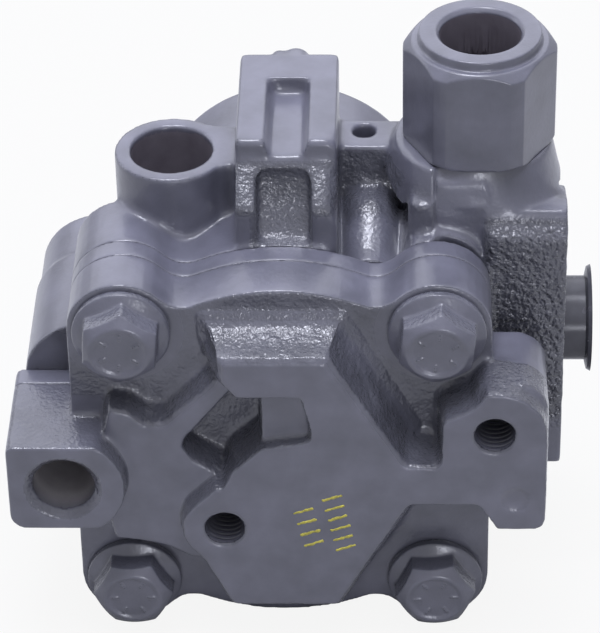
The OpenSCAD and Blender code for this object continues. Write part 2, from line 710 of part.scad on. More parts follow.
module pump_body() {
    color(paint) difference() {
        body_casting();
        // chamber, shaft bore, seal pocket and bearing seat in one revolve
        turned() polygon([[0, body_seam - 1], [chamber_r, body_seam - 1], [chamber_r, chamber_end],
            [shaft_r + 0.4, chamber_end], [shaft_r + 0.4, seal_start], [seal_r + fit, seal_start],
            [seal_r + fit, seal_end], [seal_r + 1, seal_end], [seal_r + 1, bearing_start],
            [bearing_r + fit, bearing_start], [bearing_r + fit, nose_snap_start - skin],
            [bearing_r + nose_groove, nose_snap_start - skin],
            [bearing_r + nose_groove, nose_snap_start + snap_t + skin],
            [bearing_r + fit, nose_snap_start + snap_t + skin], [bearing_r + fit, nose_end + 1],
            [0, nose_end + 1]]);
        ring_y(body_seam - 1, body_seam + 2 * seal_section + skin, ring_seal_r - seal_section - skin,
            ring_seal_r + seal_section + skin);
        bolt_holes(body_seam - 1, body_seam + bolt_grip + 0.7);
        rod_y(body_seam - 1, left_front + 1, ear_bore_r, -ear_x);
        dowel_holes(chamber_end - 1, chamber_end + dowel_depth);
        // suction bore and its drilling to the chamber
        translate([-suction_x, port_axis, suction_z - suction_depth])
            cylinder(h = suction_depth + 1, r = suction_bore_r);
        translate([-suction_x, port_axis, 12])
            cylinder(h = suction_z - 12 - suction_depth / 2, r = suction_drill_r);
        // valve bore, union seat and the drillings that join them to the chamber
        translate([outlet_x, port_axis, valve_bottom]) cylinder(h = outlet_boss_z, r = spool_r + fit);
        translate([outlet_x, port_axis, shank_bottom]) cylinder(h = outlet_boss_z, r = shank_r + tap_clear);
        translate([suction_x - 4, chamber_end - 1.6, valve_bottom + valve_drill_r]) rotate([0, 90, 0])
            cylinder(h = outlet_x - suction_x + 4, r = valve_drill_r);
        translate([outlet_x + 4, port_axis, side_port_z]) cylinder(h = valve_bottom, r = damping_drill_r);
        // side port
        translate([side_port_floor, port_axis, side_port_z]) rotate([0, 90, 0])
            cylinder(h = side_port_depth + 1, r = side_port_r);
        translate([outlet_x + 2, port_axis, side_port_z]) rotate([0, 90, 0])
            cylinder(h = side_port_floor - outlet_x, r = side_drill_r);
        translate([pad_hole.x, pad_hole.y, pad_top - pad_hole_depth])
            cylinder(h = pad_hole_depth + 1, r = pad_hole_r);
    }
}

module bolt() {
    // washer flange with a domed top, hexagon and shank
    turned() polygon([[0, -bolt_flange_t - bolt_dome], [bolt_hex / 2, -bolt_flange_t - bolt_dome],
        [bolt_flange_d / 2, -bolt_flange_t], [bolt_flange_d / 2, 0], [bolt_r - tap_clear, 0],
        [bolt_r - tap_clear, bolt_shank - 1], [bolt_r - 1, bolt_shank], [0, bolt_shank]]);
    intersection() {
        rotate([90, 0, 0]) cylinder(h = bolt_head_h, r = bolt_hex / sqrt(3), $fn = 6);
        turned() polygon([[0, -bolt_head_h], [bolt_face_r, -bolt_head_h],
            [bolt_corner_r, -bolt_head_h + bolt_chamfer], [bolt_corner_r, 0], [0, 0]]);
    }
}

module cover_bolts() {
    color(paint) for (b = bolt_turns)
        translate([b.x * bolt_x, seat_depth, b.y * bolt_z]) rotate([0, b.z, 0]) bolt();
}

module cover_seal() {
    color(rubber) translate([0, cover_seam - seal_section, 0]) rotate([90, 0, 0])
        torus(ring_seal_r, seal_section - seal_squeeze);
}

module plate_seal() {
    color(rubber) translate([0, body_seam + seal_section, 0]) rotate([90, 0, 0])
        torus(ring_seal_r, seal_section - seal_squeeze);
}

function cam_r(a) = cam_min_r + cam_stroke * (1 + cos(2 * a)) / 2;

module cam_ring() {
    color(steel) difference() {
        rod_y(body_seam, ring_end, chamber_r - fit);
        along_y(body_seam - 1, ring_end + 1)
            polygon([for (i = [0 : cam_steps - 1]) let (a = 360 * i / cam_steps)
                cam_r(a) * [cos(a), sin(a)]]);
        dowel_holes(body_seam - 1, ring_end + 1);
    }
}

module rotor() {
    color(steel) difference() {
        rod_y(body_seam + rotor_side, ring_end - rotor_side, rotor_r);
        rod_y(body_seam - 1, ring_end + 1, shaft_r + fit);
        for (i = [0 : vane_count - 1]) rotate([0, -vane_turn(i), 0]) {
            translate([slot_foot, body_seam - 1, -vane_t / 2 - fit])
                cube([rotor_r, ring_t + 2, vane_t + 2 * fit]);
            rod_y(body_seam - 1, ring_end + 1, slot_foot_r, slot_foot + slot_foot_r / 2);
        }
    }
}

function vane_turn(i) = (i + 0.5) * 360 / vane_count;

module vane(i) {
    color(dark_steel) rotate([0, -vane_turn(i), 0]) intersection() {
        translate([vane_foot, body_seam + 2 * rotor_side, -vane_t / 2])
            cube([vane_h, ring_t - 4 * rotor_side, vane_t]);
        rod_y(body_seam, ring_end, vane_h, vane_foot);
    }
}

module front_pressure_plate() {
    color(dark_steel) difference() {
        rod_y(ring_end, front_plate_end, chamber_r - fit);
        rod_y(ring_end - 1, front_plate_end + 1, shaft_r + 0.3);
        dowel_holes(ring_end - 1, front_plate_end + 1);
        ring_y(front_plate_mid - seal_section - skin, front_plate_mid + seal_section + skin,
            chamber_r - 2 * seal_section - skin, chamber_r + 1);
        for (s = [-1, 1]) rod_y(ring_end - 1, front_plate_end + 1, plate_drill_r, 0, s * pressure_window);
    }
}

module pressure_plate_seal() {
    color(rubber) translate([0, front_plate_mid, 0]) rotate([90, 0, 0])
        torus(chamber_r - seal_section - skin / 2, seal_section - seal_squeeze);
}

module disc_spring() {
    low = front_plate_end + seal_squeeze;
    high = chamber_end - seal_squeeze;
    color(steel) turned() polygon([[disc_spring_in, low], [disc_spring_in + 1, low],
        [disc_spring_out, high - disc_spring_t], [disc_spring_out, high], [disc_spring_out - 1, high],
        [disc_spring_in, low + disc_spring_t]]);
}

module dowel_pins() {
    color(steel) for (s = [-1, 1]) rod_y(cover_seam - dowel_depth + dowel_end_gap,
        chamber_end + dowel_depth - dowel_end_gap, dowel_d / 2, 0, s * dowel_z);
}

module drive_shaft() {
    groove = [snap_start - skin, snap_start + snap_t + skin, shaft_r - snap_groove_depth];
    color(steel) difference() {
        turned() polygon([[0, bush_start], [shaft_r - 1, bush_start], [shaft_r, bush_start + 1],
            [shaft_r, groove[0]], [groove[2], groove[0]], [groove[2], groove[1]], [shaft_r, groove[1]],
            [shaft_r, bearing_start - shaft_collar], [shoulder_r, bearing_start - shaft_collar],
            [shoulder_r, bearing_start], [shaft_r, bearing_start], [shaft_r, bearing_end],
            [pulley_r, bearing_end + 0.4], [pulley_r, shaft_end - shaft_chamfer],
            [pulley_r - shaft_chamfer, shaft_end], [0, shaft_end]]);
        rod_y(shaft_end - shaft_tap_depth, shaft_end + 1, tap_r);
        cone_y(shaft_end - tap_mouth, shaft_end + 0.01, tap_r, tap_r + tap_mouth);
    }
}

module snap_ring_shape(from, r_in, r_out, opening) {
    difference() {
        ring_y(from, from + snap_t, r_in, r_out);
        translate([-opening / 2, from - 1, 0]) cube([opening, snap_t + 2, r_out + 1]);
    }
}

module rotor_snap_ring() {
    color(dark_steel) snap_ring_shape(snap_start, shaft_r - snap_groove_depth + fit, rotor_snap_r, snap_gap);
}

module rear_bush() {
    color(bronze) ring_y(bush_start, bush_end, shaft_r + fit, bush_r);
}

module shaft_seal() {
    back = seal_start + seal_squeeze;
    web = seal_start + seal_web;
    color(rubber) turned() polygon([[seal_r, back], [seal_r, seal_end], [seal_r - seal_case, seal_end],
        [seal_r - seal_case, web], [shaft_r + seal_web, web], [shaft_r + seal_web * 3 / 4, seal_end - 1],
        [shaft_r + fit, seal_end - seal_lip], [shaft_r + seal_lip / 4, back]]);
}

module bearing_ring(r_in, r_out) {
    color(steel) turned() difference() {
        translate([r_in, bearing_start]) square([r_out - r_in, bearing_w]);
        translate([pitch_r, bearing_mid]) circle(race_r);
    }
}

module bearing_outer_ring() {
    bearing_ring(pitch_r + ring_lip, bearing_r);
}

module bearing_inner_ring() {
    bearing_ring(shaft_r + fit, pitch_r - ring_lip);
}

module bearing_balls() {
    color(steel) for (i = [0 : ball_count - 1]) rotate([0, i * 360 / ball_count, 0])
        translate([pitch_r, bearing_mid, 0]) sphere(ball_r);
}

module bearing_cage() {
    color(bronze) difference() {
        ring_y(bearing_mid - cage_w / 2, bearing_mid + cage_w / 2,
            pitch_r - cage_half_t, pitch_r + cage_half_t);
        for (i = [0 : ball_count - 1]) rotate([0, i * 360 / ball_count, 0])
            translate([0, bearing_mid, 0]) rotate([0, 90, 0]) cylinder(h = bearing_r, r = ball_r + 0.1);
    }
}

module bearing_snap_ring() {
    color(dark_steel) snap_ring_shape(nose_snap_start, bearing_r - nose_snap_in,
        bearing_r + nose_groove - 0.1, nose_snap_gap);
}

module outlet_union() {
    thread_bottom = union_top + union_ring_h - union_thread_depth;
    color(paint) translate([outlet_x, port_axis, 0]) difference() {
        union() {
            translate([0, 0, outlet_boss_z]) intersection() {
                rotate(union_turn) cylinder(h = union_hex_h, r = union_hex / sqrt(3), $fn = 6);
                rotate_extrude() polygon([[0, 0], [union_foot_r, 0], [union_corner_r, 0.6],
                    [union_corner_r, union_hex_h - union_chamfer], [union_hex / 2 - 0.4, union_hex_h],
                    [0, union_hex_h]]);
            }
            translate([0, 0, union_top - 1])
                cylinder(h = 1 + union_ring_h, r1 = union_ring_r[0], r2 = union_ring_r[1]);
            difference() {
                translate([0, 0, shank_bottom]) cylinder(h = shank_len + 1, r = shank_r);
                translate([0, 0, union_seal_z - union_seal_section - skin]) rotate_extrude()
                    translate([shank_r - 2 * union_seal_section, 0])
                        square([2 * union_seal_section + 1, 2 * (union_seal_section + skin)]);
            }
        }
        translate([0, 0, thread_bottom]) cylinder(h = union_thread_depth + 1, r = union_thread_r);
        translate([0, 0, union_top + union_ring_h - tap_mouth])
            cylinder(h = tap_mouth + 0.01, r1 = union_thread_r, r2 = union_thread_r + tap_mouth);
        translate([0, 0, thread_bottom - union_cone])
            cylinder(h = union_cone + 0.01, r1 = union_bore_r, r2 = union_thread_r);
        translate([0, 0, shank_bottom - 1]) cylinder(h = union_top - shank_bottom, r = union_bore_r);
    }
}

module union_seal() {
    color(rubber) translate([outlet_x, port_axis, union_seal_z])
        torus(shank_r - union_seal_section + skin, union_seal_section - seal_squeeze);
}

module flow_control_spool() {
    color(steel) translate([outlet_x, port_axis, 0]) difference() {
        translate([0, 0, spool_bottom]) cylinder(h = spool_len, r = spool_r);
        translate([0, 0, spool_bottom - 1]) cylinder(h = spool_skirt + 1, r = spool_skirt_r);
        translate([0, 0, relief_floor]) cylinder(h = spool_len, r = relief_bore_r);
        // waist round the spool with cross drillings from the relief bore
        translate([0, 0, waist_low]) rotate_extrude()
            translate([spool_r - waist_depth, 0]) square([waist_depth + 1, waist_h]);
        translate([0, 0, waist_low + waist_h / 2]) for (a = [0, 90]) rotate([90, 0, a])
            cylinder(h = 2 * spool_r + 2, r = spool_drill_r, center = true);
    }
}

// Helix as one swept polyhedron of round wire
module coil(mean_r, wire, low, high, turns, steps) {
    n = turns * steps;
    points = [for (i = [0 : n], k = [0 : spring_sides - 1])
        let (a = 360 * i / steps, b = 360 * k / spring_sides, r = mean_r + wire / 2 * cos(b))
        [r * cos(a), r * sin(a), low + (high - low) * i / n + wire / 2 * sin(b)]];
    sides = [for (i = [0 : n - 1], k = [0 : spring_sides - 1]) let (j = (k + 1) % spring_sides)
        [i * spring_sides + k, (i + 1) * spring_sides + k, (i + 1) * spring_sides + j,
            i * spring_sides + j]];
    polyhedron(points, concat([[for (k = [0 : spring_sides - 1]) k]], sides,
        [[for (k = [spring_sides - 1 : -1 : 0]) n * spring_sides + k]]), convexity = 8);
}

module flow_control_spring() {
    color(steel) translate([outlet_x, port_axis, 0])
        coil(spring_mean_r, spring_wire, spring_low, spring_high, spring_turns, spring_steps);
}

module relief_seat() {
    color(bronze) translate([outlet_x, port_axis, relief_seat_bottom]) difference() {
        cylinder(h = relief_seat_h, r = relief_bore_r - fit);
        translate([0, 0, -1]) cylinder(h = relief_seat_h + 2, r = relief_hole_r);
        translate([0, 0, -0.01]) cylinder(h = relief_seat_r, r1 = relief_seat_r, r2 = 0);
    }
}

module relief_ball() {
    color(dark_steel) translate([outlet_x, port_axis, relief_ball_z]) sphere(relief_ball_r);
}

module relief_spring() {
    color(steel) translate([outlet_x, port_axis, 0]) coil(relief_coil_r, relief_wire,
        relief_floor + relief_wire / 2 + skin, relief_ball_z - relief_ball_r / 2 - relief_wire,
        relief_turns, relief_steps);
}

module port_plug() {
    inner = -side_port_depth + plug_floor;
    color(rubber) translate([block_right, port_axis, side_port_z]) rotate([0, 90, 0]) rotate_extrude()
        polygon([[0, inner], [side_port_r - 1.4, inner], [side_port_r - fit, inner + 1.8],
            [side_port_r - fit, plug_out - 0.6], [plug_flange_r - 0.4, plug_out - 0.2],
            [plug_flange_r, plug_out + 0.5], [side_port_r - plug_wall, plug_out + 0.2],
            [side_port_r - plug_wall, inner + plug_floor], [0, inner + plug_floor]]);
}

rear_cover();
middle_plate();
pump_body();
cover_bolts();
cover_seal();
plate_seal();
cam_ring();
rotor();
front_pressure_plate();
pressure_plate_seal();
disc_spring();
dowel_pins();
drive_shaft();
rotor_snap_ring();
rear_bush();
shaft_seal();
bearing_outer_ring();
bearing_inner_ring();
bearing_balls();
bearing_cage();
bearing_snap_ring();
outlet_union();
union_seal();
flow_control_spool();
flow_control_spring();
relief_seat();
relief_ball();
relief_spring();
port_plug();
for (i = [1 : vane_count])
    vane(i - 1);
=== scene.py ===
# %% [markdown]
# This lesson dresses a power steering pump in Blender. The solids come from a CAD frame in metres,
# with X to the right of the rear cover, +Y along the shaft to the drive end and +Z up.
# The pump was rebuilt in a workshop: its castings are sprayed gloss black over rough sand-cast
# metal, bolts and union included, so most of the work is in rounded cast edges and in the paint.

# %% Load the frame
import math

import bmesh
import bpy
import numpy as np
from mathutils import Matrix, Vector


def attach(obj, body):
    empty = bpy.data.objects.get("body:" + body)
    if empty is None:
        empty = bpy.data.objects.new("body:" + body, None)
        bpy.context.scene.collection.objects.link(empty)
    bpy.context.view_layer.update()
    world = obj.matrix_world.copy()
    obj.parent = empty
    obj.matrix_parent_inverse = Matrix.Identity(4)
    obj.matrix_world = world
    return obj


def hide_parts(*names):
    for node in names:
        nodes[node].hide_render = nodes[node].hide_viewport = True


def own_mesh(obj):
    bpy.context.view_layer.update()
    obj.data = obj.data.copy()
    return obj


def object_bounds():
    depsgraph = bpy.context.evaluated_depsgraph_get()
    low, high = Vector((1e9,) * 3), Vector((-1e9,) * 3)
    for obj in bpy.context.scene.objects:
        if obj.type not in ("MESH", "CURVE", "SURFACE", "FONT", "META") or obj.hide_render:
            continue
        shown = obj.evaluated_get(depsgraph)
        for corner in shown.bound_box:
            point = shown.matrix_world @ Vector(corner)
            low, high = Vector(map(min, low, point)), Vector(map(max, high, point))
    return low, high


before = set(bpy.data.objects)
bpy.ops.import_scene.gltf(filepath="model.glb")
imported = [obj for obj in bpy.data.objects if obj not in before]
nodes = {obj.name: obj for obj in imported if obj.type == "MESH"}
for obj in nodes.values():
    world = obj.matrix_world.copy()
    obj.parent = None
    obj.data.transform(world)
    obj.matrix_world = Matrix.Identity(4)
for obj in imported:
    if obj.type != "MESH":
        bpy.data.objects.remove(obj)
MM = 0.001
cad_box = [list(corner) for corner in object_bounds()]
print("nodes in the frame:", len(nodes), "box in mm:", [[round(x / MM, 1) for x in c] for c in cad_box])

# %% [markdown]
# The camera looks down on the rear cover from a little above, with a long lens that keeps upright
# edges almost parallel. A long lens and a far camera are chosen because the bolt heads near the
# bottom are hardly larger than the union at the top. The camera is also rolled by about a degree.

# %% Camera at the photograph's view
LENS_MM, SENSOR_MM = 199.05, 36.0
CAMERA_TURN, CAMERA_RISE, CAMERA_ROLL = math.radians(2.0), math.radians(36.48), math.radians(-1.17)
CAMERA_FAR_MM, AIM_MM = 617.7, (3.79, 9.7, 31.52)

back = Vector((math.sin(CAMERA_TURN) * math.cos(CAMERA_RISE),
               -math.cos(CAMERA_TURN) * math.cos(CAMERA_RISE), math.sin(CAMERA_RISE)))
level_right = (-back).cross(Vector((0, 0, 1))).normalized()
level_up = level_right.cross(-back)
right = math.cos(CAMERA_ROLL) * level_right + math.sin(CAMERA_ROLL) * level_up
up = math.cos(CAMERA_ROLL) * level_up - math.sin(CAMERA_ROLL) * level_right

lens = bpy.data.cameras.new("camera")
lens.lens, lens.sensor_width, lens.sensor_fit = LENS_MM, SENSOR_MM, "AUTO"
lens.clip_start, lens.clip_end = 0.05, 20
camera = bpy.data.objects.new("camera", lens)
bpy.context.scene.collection.objects.link(camera)
place = Matrix((right, up, back)).transposed().to_4x4()
place.translation = (Vector(AIM_MM) + back * CAMERA_FAR_MM) * MM
camera.matrix_world = place
bpy.context.scene.camera = camera
print("camera stands at", [round(x / MM) for x in place.translation], "mm")

# %% [markdown]
# The pump is shown on a white sweep. A floor plane takes the shadow. Light Path lets floor and world look
# white to the camera, and the world partly so to mirrored rays, while the light on the pump stays plain.
# A broad dim softbox behind the pump is mirrored by all up-facing paint, which makes black paint look
# pale grey on top. Two small lamps, above and low in front, give the hard glints on rounded edges and on
# cast grain. Two boxes lift the left side and the front, and a wide fill from above lights the paint but
# isn't mirrored in it.

# %% Floor, world and softboxes
bpy.context.scene.view_settings.view_transform = "Standard"
FLOOR_HALF, FLOOR_GAP_MM = 6.0, 0.2
PAPER_GREY, PAPER_GLOW = 0.36, 0.90
SKY_TINT, SKY_STRENGTH, SKY_MIRRORED = (0.90, 0.92, 1.0, 1), 0.40, 0.35
floor_level = cad_box[0][2] - FLOOR_GAP_MM * MM

floor_mesh = bpy.data.meshes.new("studio_floor")
floor_mesh.from_pydata([(x * FLOOR_HALF, y * FLOOR_HALF, floor_level)
                        for x, y in ((-1, -1), (1, -1), (1, 1), (-1, 1))], [], [(0, 1, 2, 3)])
studio_floor = bpy.data.objects.new("studio_floor", floor_mesh)
bpy.context.scene.collection.objects.link(studio_floor)


def maths(tree, kind, a, b):
    """The result of a maths node on two values, each a number or the result of another node."""
    made = tree.nodes.new("ShaderNodeMath")
    made.operation = kind
    for k, value in enumerate((a, b)):
        if isinstance(value, float):
            made.inputs[k].default_value = value
        else:
            tree.links.new(value, made.inputs[k])
    return made.outputs[0]


def seen_directly(tree, most, mirrored):
    """A share that is most for the camera, and mirrored times that for reflected and refracted rays."""
    ray = tree.nodes.new("ShaderNodeLightPath")
    other = maths(tree, "MAXIMUM", ray.outputs["Is Glossy Ray"], ray.outputs["Is Transmission Ray"])
    both = maths(tree, "MAXIMUM", ray.outputs["Is Camera Ray"], maths(tree, "MULTIPLY", other, mirrored))
    return maths(tree, "MULTIPLY", both, most)


def mixed(tree, share, first, second, output):
    """Shows the first shader, and the second one by its share."""
    both = tree.nodes.new("ShaderNodeMixShader")
    for socket, source in zip(both.inputs, (share, first, second)):
        tree.links.new(source, socket)
    tree.links.new(both.outputs[0], output.inputs["Surface"])


white_paper = bpy.data.materials.new("white_paper")
white_paper.use_nodes = True
tree = white_paper.node_tree
paper, glow = tree.nodes["Principled BSDF"], tree.nodes.new("ShaderNodeEmission")
paper.inputs["Base Color"].default_value = (PAPER_GREY,) * 3 + (1,)
paper.inputs["Roughness"].default_value = 0.9
paper.inputs["Specular IOR Level"].default_value = 0.0
glow.inputs["Strength"].default_value = 1.0
mixed(tree, seen_directly(tree, PAPER_GLOW, 0.0), paper.outputs[0], glow.outputs[0],
      tree.nodes["Material Output"])
floor_mesh.materials.append(white_paper)

sky = bpy.data.worlds.new("white_surround")
sky.use_nodes = True
bpy.context.scene.world = sky
tree = sky.node_tree
tree.nodes.clear()
dim, white = tree.nodes.new("ShaderNodeBackground"), tree.nodes.new("ShaderNodeBackground")
dim.inputs["Color"].default_value = SKY_TINT
dim.inputs["Strength"].default_value = SKY_STRENGTH
white.inputs["Strength"].default_value = 1.0
mixed(tree, seen_directly(tree, 1.0, SKY_MIRRORED), dim.outputs[0], white.outputs[0],
      tree.nodes.new("ShaderNodeOutputWorld"))

COOL = (0.87, 0.89, 1.0)
PUMP_MIDDLE = (0.0, 0.04, 0.02)


def softbox(name, spot, wide, high, watts):
    """A cool rectangular lamp that faces the pump. Its place and size are in metres."""
    lamp = bpy.data.lights.new(name, "AREA")
    lamp.shape, lamp.size, lamp.size_y, lamp.energy, lamp.color = "RECTANGLE", wide, high, watts, COOL
    holder = bpy.data.objects.new(name, lamp)
    bpy.context.scene.collection.objects.link(holder)
    holder.location = spot
    holder.rotation_euler = (Vector(PUMP_MIDDLE) - Vector(spot)).to_track_quat("-Z", "Y").to_euler()
    return holder


softbox("back_softbox", (-0.12, 0.82, 0.70), 1.6, 1.0, 4.5)
softbox("left_softbox", (-0.8, 0.3, 0.30), 0.3, 0.7, 1.0)
softbox("front_softbox", (0.1, -0.80, 0.85), 0.5, 0.4, 0.2)
softbox("overhead_lamp", (-0.08, 0.05, 1.05), 0.28, 0.28, 5.0)
softbox("spark_lamp", (0.2, -0.9, 0.13), 0.14, 0.14, 1.3)
fill = softbox("overhead_fill", (0.06, 0.0, 1.15), 1.1, 1.1, 20.5)
fill.visible_glossy = False
print("lamps:", len(bpy.data.lights), "and the floor at", round(floor_level / MM, 1), "mm")

# %% [markdown]
# Nearly every visible piece wears the same black paint. Sprayed enamel isn't one flat colour: it has
# a faint orange peel, pools a little, and over sand-cast metal it keeps the grain below, which
# glitters. The material reads two attributes from the mesh. One is grain_and_shade, from 0 on machined
# faces to 1 on rough cast ones: it sets how strong the fine bumps are, and makes the paint darker and
# wetter. That darker tone is partly painted shade, because the attribute is also raised on walls, pocket
# floors, the ear's top and the bolts' sides so that they render darker. The other is lumpy, for walls
# with coarse lumps.

# %% Gloss black paint
def new_material(name):
    """A material with its principled shader, ready for a pattern on Object coordinates."""
    made = bpy.data.materials.new(name)
    made.use_nodes = True
    shader = made.node_tree.nodes["Principled BSDF"]
    spot = made.node_tree.nodes.new("ShaderNodeTexCoord")
    return made, made.node_tree, shader, spot.outputs["Object"]


def noise(tree, where, size_mm, detail=2.0):
    """Noise with lumps of about this size."""
    made = tree.nodes.new("ShaderNodeTexNoise")
    made.inputs["Scale"].default_value = 1 / (size_mm * MM)
    made.inputs["Detail"].default_value = detail
    tree.links.new(where, made.inputs["Vector"])
    return made.outputs["Fac"]


def spread(tree, value, low, high, from_low=0.3, from_high=0.7):
    """Stretches a noise value to the range from low to high."""
    made = tree.nodes.new("ShaderNodeMapRange")
    for name, number in (("From Min", from_low), ("From Max", from_high), ("To Min", low), ("To Max", high)):
        made.inputs[name].default_value = number
    tree.links.new(value, made.inputs["Value"])
    return made.outputs["Result"]


def tones(tree, value, dark, light):
    """A colour between two tones."""
    made = tree.nodes.new("ShaderNodeMix")
    made.data_type = "RGBA"
    made.inputs[6].default_value, made.inputs[7].default_value = (*dark, 1), (*light, 1)
    tree.links.new(value, made.inputs[0])
    return made.outputs[2]


def bump(tree, height, depth_mm, strength=1.0, normal=None):
    """Bumps of this depth, on top of earlier ones."""
    made = tree.nodes.new("ShaderNodeBump")
    made.inputs["Distance"].default_value = depth_mm * MM
    tree.links.new(height, made.inputs["Height"])
    if hasattr(strength, "node"):
        tree.links.new(strength, made.inputs["Strength"])
    else:
        made.inputs["Strength"].default_value = strength
    if normal is not None:
        tree.links.new(normal, made.inputs["Normal"])
    return made.outputs["Normal"]


def from_mesh(tree, name):
    """An attribute that the mesh carries."""
    made = tree.nodes.new("ShaderNodeAttribute")
    made.attribute_name = name
    return made.outputs["Fac"]


def blend(tree, share, first, second):
    """A colour between two colours that are themselves uneven."""
    made = tree.nodes.new("ShaderNodeMix")
    made.data_type = "RGBA"
    for socket, source in zip((made.inputs[0], made.inputs[6], made.inputs[7]), (share, first, second)):
        tree.links.new(source, socket)
    return made.outputs[2]


SMOOTH_DULL, ROUGH_DULL = 0.40, 0.10
SMOOTH_PAINT = (0.080, 0.081, 0.105), (0.120, 0.120, 0.156)
# The rough tone is darker partly as painted shade on walls, hollows and bolt sides.
ROUGH_PAINT_AND_SHADE = (0.053, 0.054, 0.067), (0.077, 0.078, 0.096)


def black_enamel():
    """The paint, with orange peel everywhere, coarse lumps where the mesh asks for them, sand grain, and a
    darker tone that is partly painted shade.
    """
    made, tree, shader, where = new_material("black_enamel")
    grain_and_shade = from_mesh(tree, "grain_and_shade")
    cloud = spread(tree, noise(tree, where, 7.0, 9.0), 0, 1)
    smooth_paint = tones(tree, cloud, *SMOOTH_PAINT)
    rough_paint_and_shade = tones(tree, cloud, *ROUGH_PAINT_AND_SHADE)
    tree.links.new(blend(tree, grain_and_shade, smooth_paint, rough_paint_and_shade), shader.inputs["Base Color"])
    tree.links.new(spread(tree, grain_and_shade, SMOOTH_DULL, ROUGH_DULL, 0, 1), shader.inputs["Roughness"])
    shader.inputs["Coat Weight"].default_value = 1.0
    shader.inputs["Coat Roughness"].default_value = 0.24
    skin = bump(tree, noise(tree, where, 1.6, 2.0), 0.06, 0.4)
    skin = bump(tree, noise(tree, where, 1.1, 1.0), 0.7, from_mesh(tree, "lumpy"), skin)
    skin = bump(tree, noise(tree, where, 0.7, 2.0), 0.28, grain_and_shade, skin)
    tree.links.new(skin, shader.inputs["Normal"])
    tree.links.new(skin, shader.inputs["Coat Normal"])
    return made


enamel = black_enamel()
print("paint made:", enamel.name)

# %% [markdown]
# A sand casting has no sharp edge. Its edges and inner corners are rounded by the mould, and the paint
# rounds them more. Bevels break on a solid with this many meeting faces, so a copy of the CAD mesh is
# filled with a fine voxel remesh and relaxed. Where two castings meet, the faces were milled and their
# edges are crisp, so each copy is made a little too long there and cut back after the rounding.

# %% Copies of CAD meshes and their joint faces
JOINT_SPARE, JOINT_FOUND = 0.2, 0.02


def points_of(mesh, what="co"):
    """The places of all points, or their normals."""
    flat = np.empty(len(mesh.vertices) * 3, np.float32)
    mesh.vertices.foreach_get(what, flat)
    return flat.reshape(-1, 3).astype(float)


def put_points(mesh, points):
    """Moves all points to new places."""
    mesh.vertices.foreach_set("co", points.astype(np.float32).ravel())
    mesh.update()


def joint_spare(mesh, station, side):
    """Lengthens a piece past a milled joint face, so that the joint's edge isn't rounded away."""
    at = points_of(mesh)
    at[abs(at[:, 1] - station) < JOINT_FOUND, 1] += side * JOINT_SPARE
    put_points(mesh, at)


def joint_face(points, station, side):
    """Cuts the spare length off again."""
    points[:, 1] = np.minimum(points[:, 1], station) if side > 0 else np.maximum(points[:, 1], station)


def merged_copy(node):
    """A copy of a CAD node's mesh in millimetres, with its loose triangles joined."""
    mesh = nodes[node].data.copy()
    shape = bmesh.new()
    shape.from_mesh(mesh)
    bmesh.ops.scale(shape, vec=(1 / MM,) * 3, verts=shape.verts)
    bmesh.ops.remove_doubles(shape, verts=shape.verts, dist=0.002)
    shape.to_mesh(mesh)
    shape.free()
    mesh.materials.clear()
    return mesh


def finished_mesh(mesh, kind, **settings):
    """The mesh after one modifier."""
    holder = bpy.data.objects.new("holder", mesh)
    bpy.context.scene.collection.objects.link(holder)
    step = holder.modifiers.new("step", kind)
    for name, value in settings.items():
        setattr(step, name, value)
    made = bpy.data.meshes.new_from_object(holder.evaluated_get(bpy.context.evaluated_depsgraph_get()))
    bpy.data.objects.remove(holder)
    return made


def remeshed(mesh, voxel):
    """One closed skin of even small faces."""
    return finished_mesh(mesh, "REMESH", mode="VOXEL", voxel_size=voxel)


print("nodes that can be copied:", len(nodes))

# %% [markdown]
# Rounding works on the points themselves. Each point moves halfway to the middle of its neighbours,
# which takes off edges. With hollows_only a point moves only outwards, so inner corners fill up to
# fillets while outer edges stay. Smooth random lumps then make the sand's faces uneven. Bores were
# drilled after casting, so their walls are put back to the true radius at the end.

# %% Rounding, lumps and bores
def edge_ends(mesh):
    """The two points of every edge, and how many edges meet at each point."""
    pairs = np.empty(len(mesh.edges) * 2, np.int64)
    mesh.edges.foreach_get("vertices", pairs)
    a, b = pairs.reshape(-1, 2).T
    count = len(mesh.vertices)
    return a, b, np.bincount(a, minlength=count) + np.bincount(b, minlength=count)


def neighbour_mean(at, a, b, links):
    """The middle of each point's neighbours."""
    count = len(at)
    return np.stack([np.bincount(a, at[b, k], count) + np.bincount(b, at[a, k], count)
                     for k in range(3)], 1) / links[:, None]


def relax(mesh, steps, hollows_only=False):
    """Moves each point halfway to the middle of its neighbours, or only outwards out of a hollow."""
    ends = edge_ends(mesh)
    for _ in range(steps):
        at = points_of(mesh)
        step = (neighbour_mean(at, *ends) - at) * 0.5
        if hollows_only:
            outward = points_of(mesh, "normal")
            step = np.maximum((step * outward).sum(1), 0)[:, None] * outward
        put_points(mesh, at + step)


def lumps(points, size, seed):
    """Smooth random lumps of about this size, from -1 to 1."""
    cell = np.floor(points / size).astype(np.int64)
    part = points / size - cell
    part = part * part * (3 - 2 * part)
    total = np.zeros(len(points))
    for corner in range(8):
        step = np.array([corner & 1, corner >> 1 & 1, corner >> 2 & 1])
        key = (cell + step) @ np.array([73856093, 19349663, 83492791]) + seed * 977
        key = (key ^ (key >> 13)) * 1274126177 & 0x7FFFFFFF
        value = ((key ^ (key >> 16)) & 0xFFFF) / 32767.5 - 1
        total += value * np.where(step, part, 1 - part).prod(1)
    return total


def sanded(mesh, grain_of, layers):
    """The points of a skin with lumps on its rough spots. A layer is the lumps' height, size and seed."""
    at, outward = points_of(mesh), points_of(mesh, "normal")
    rise = sum(height * lumps(at, size, seed) for height, size, seed in layers)
    return at + outward * (grain_of(at, outward) * rise)[:, None]


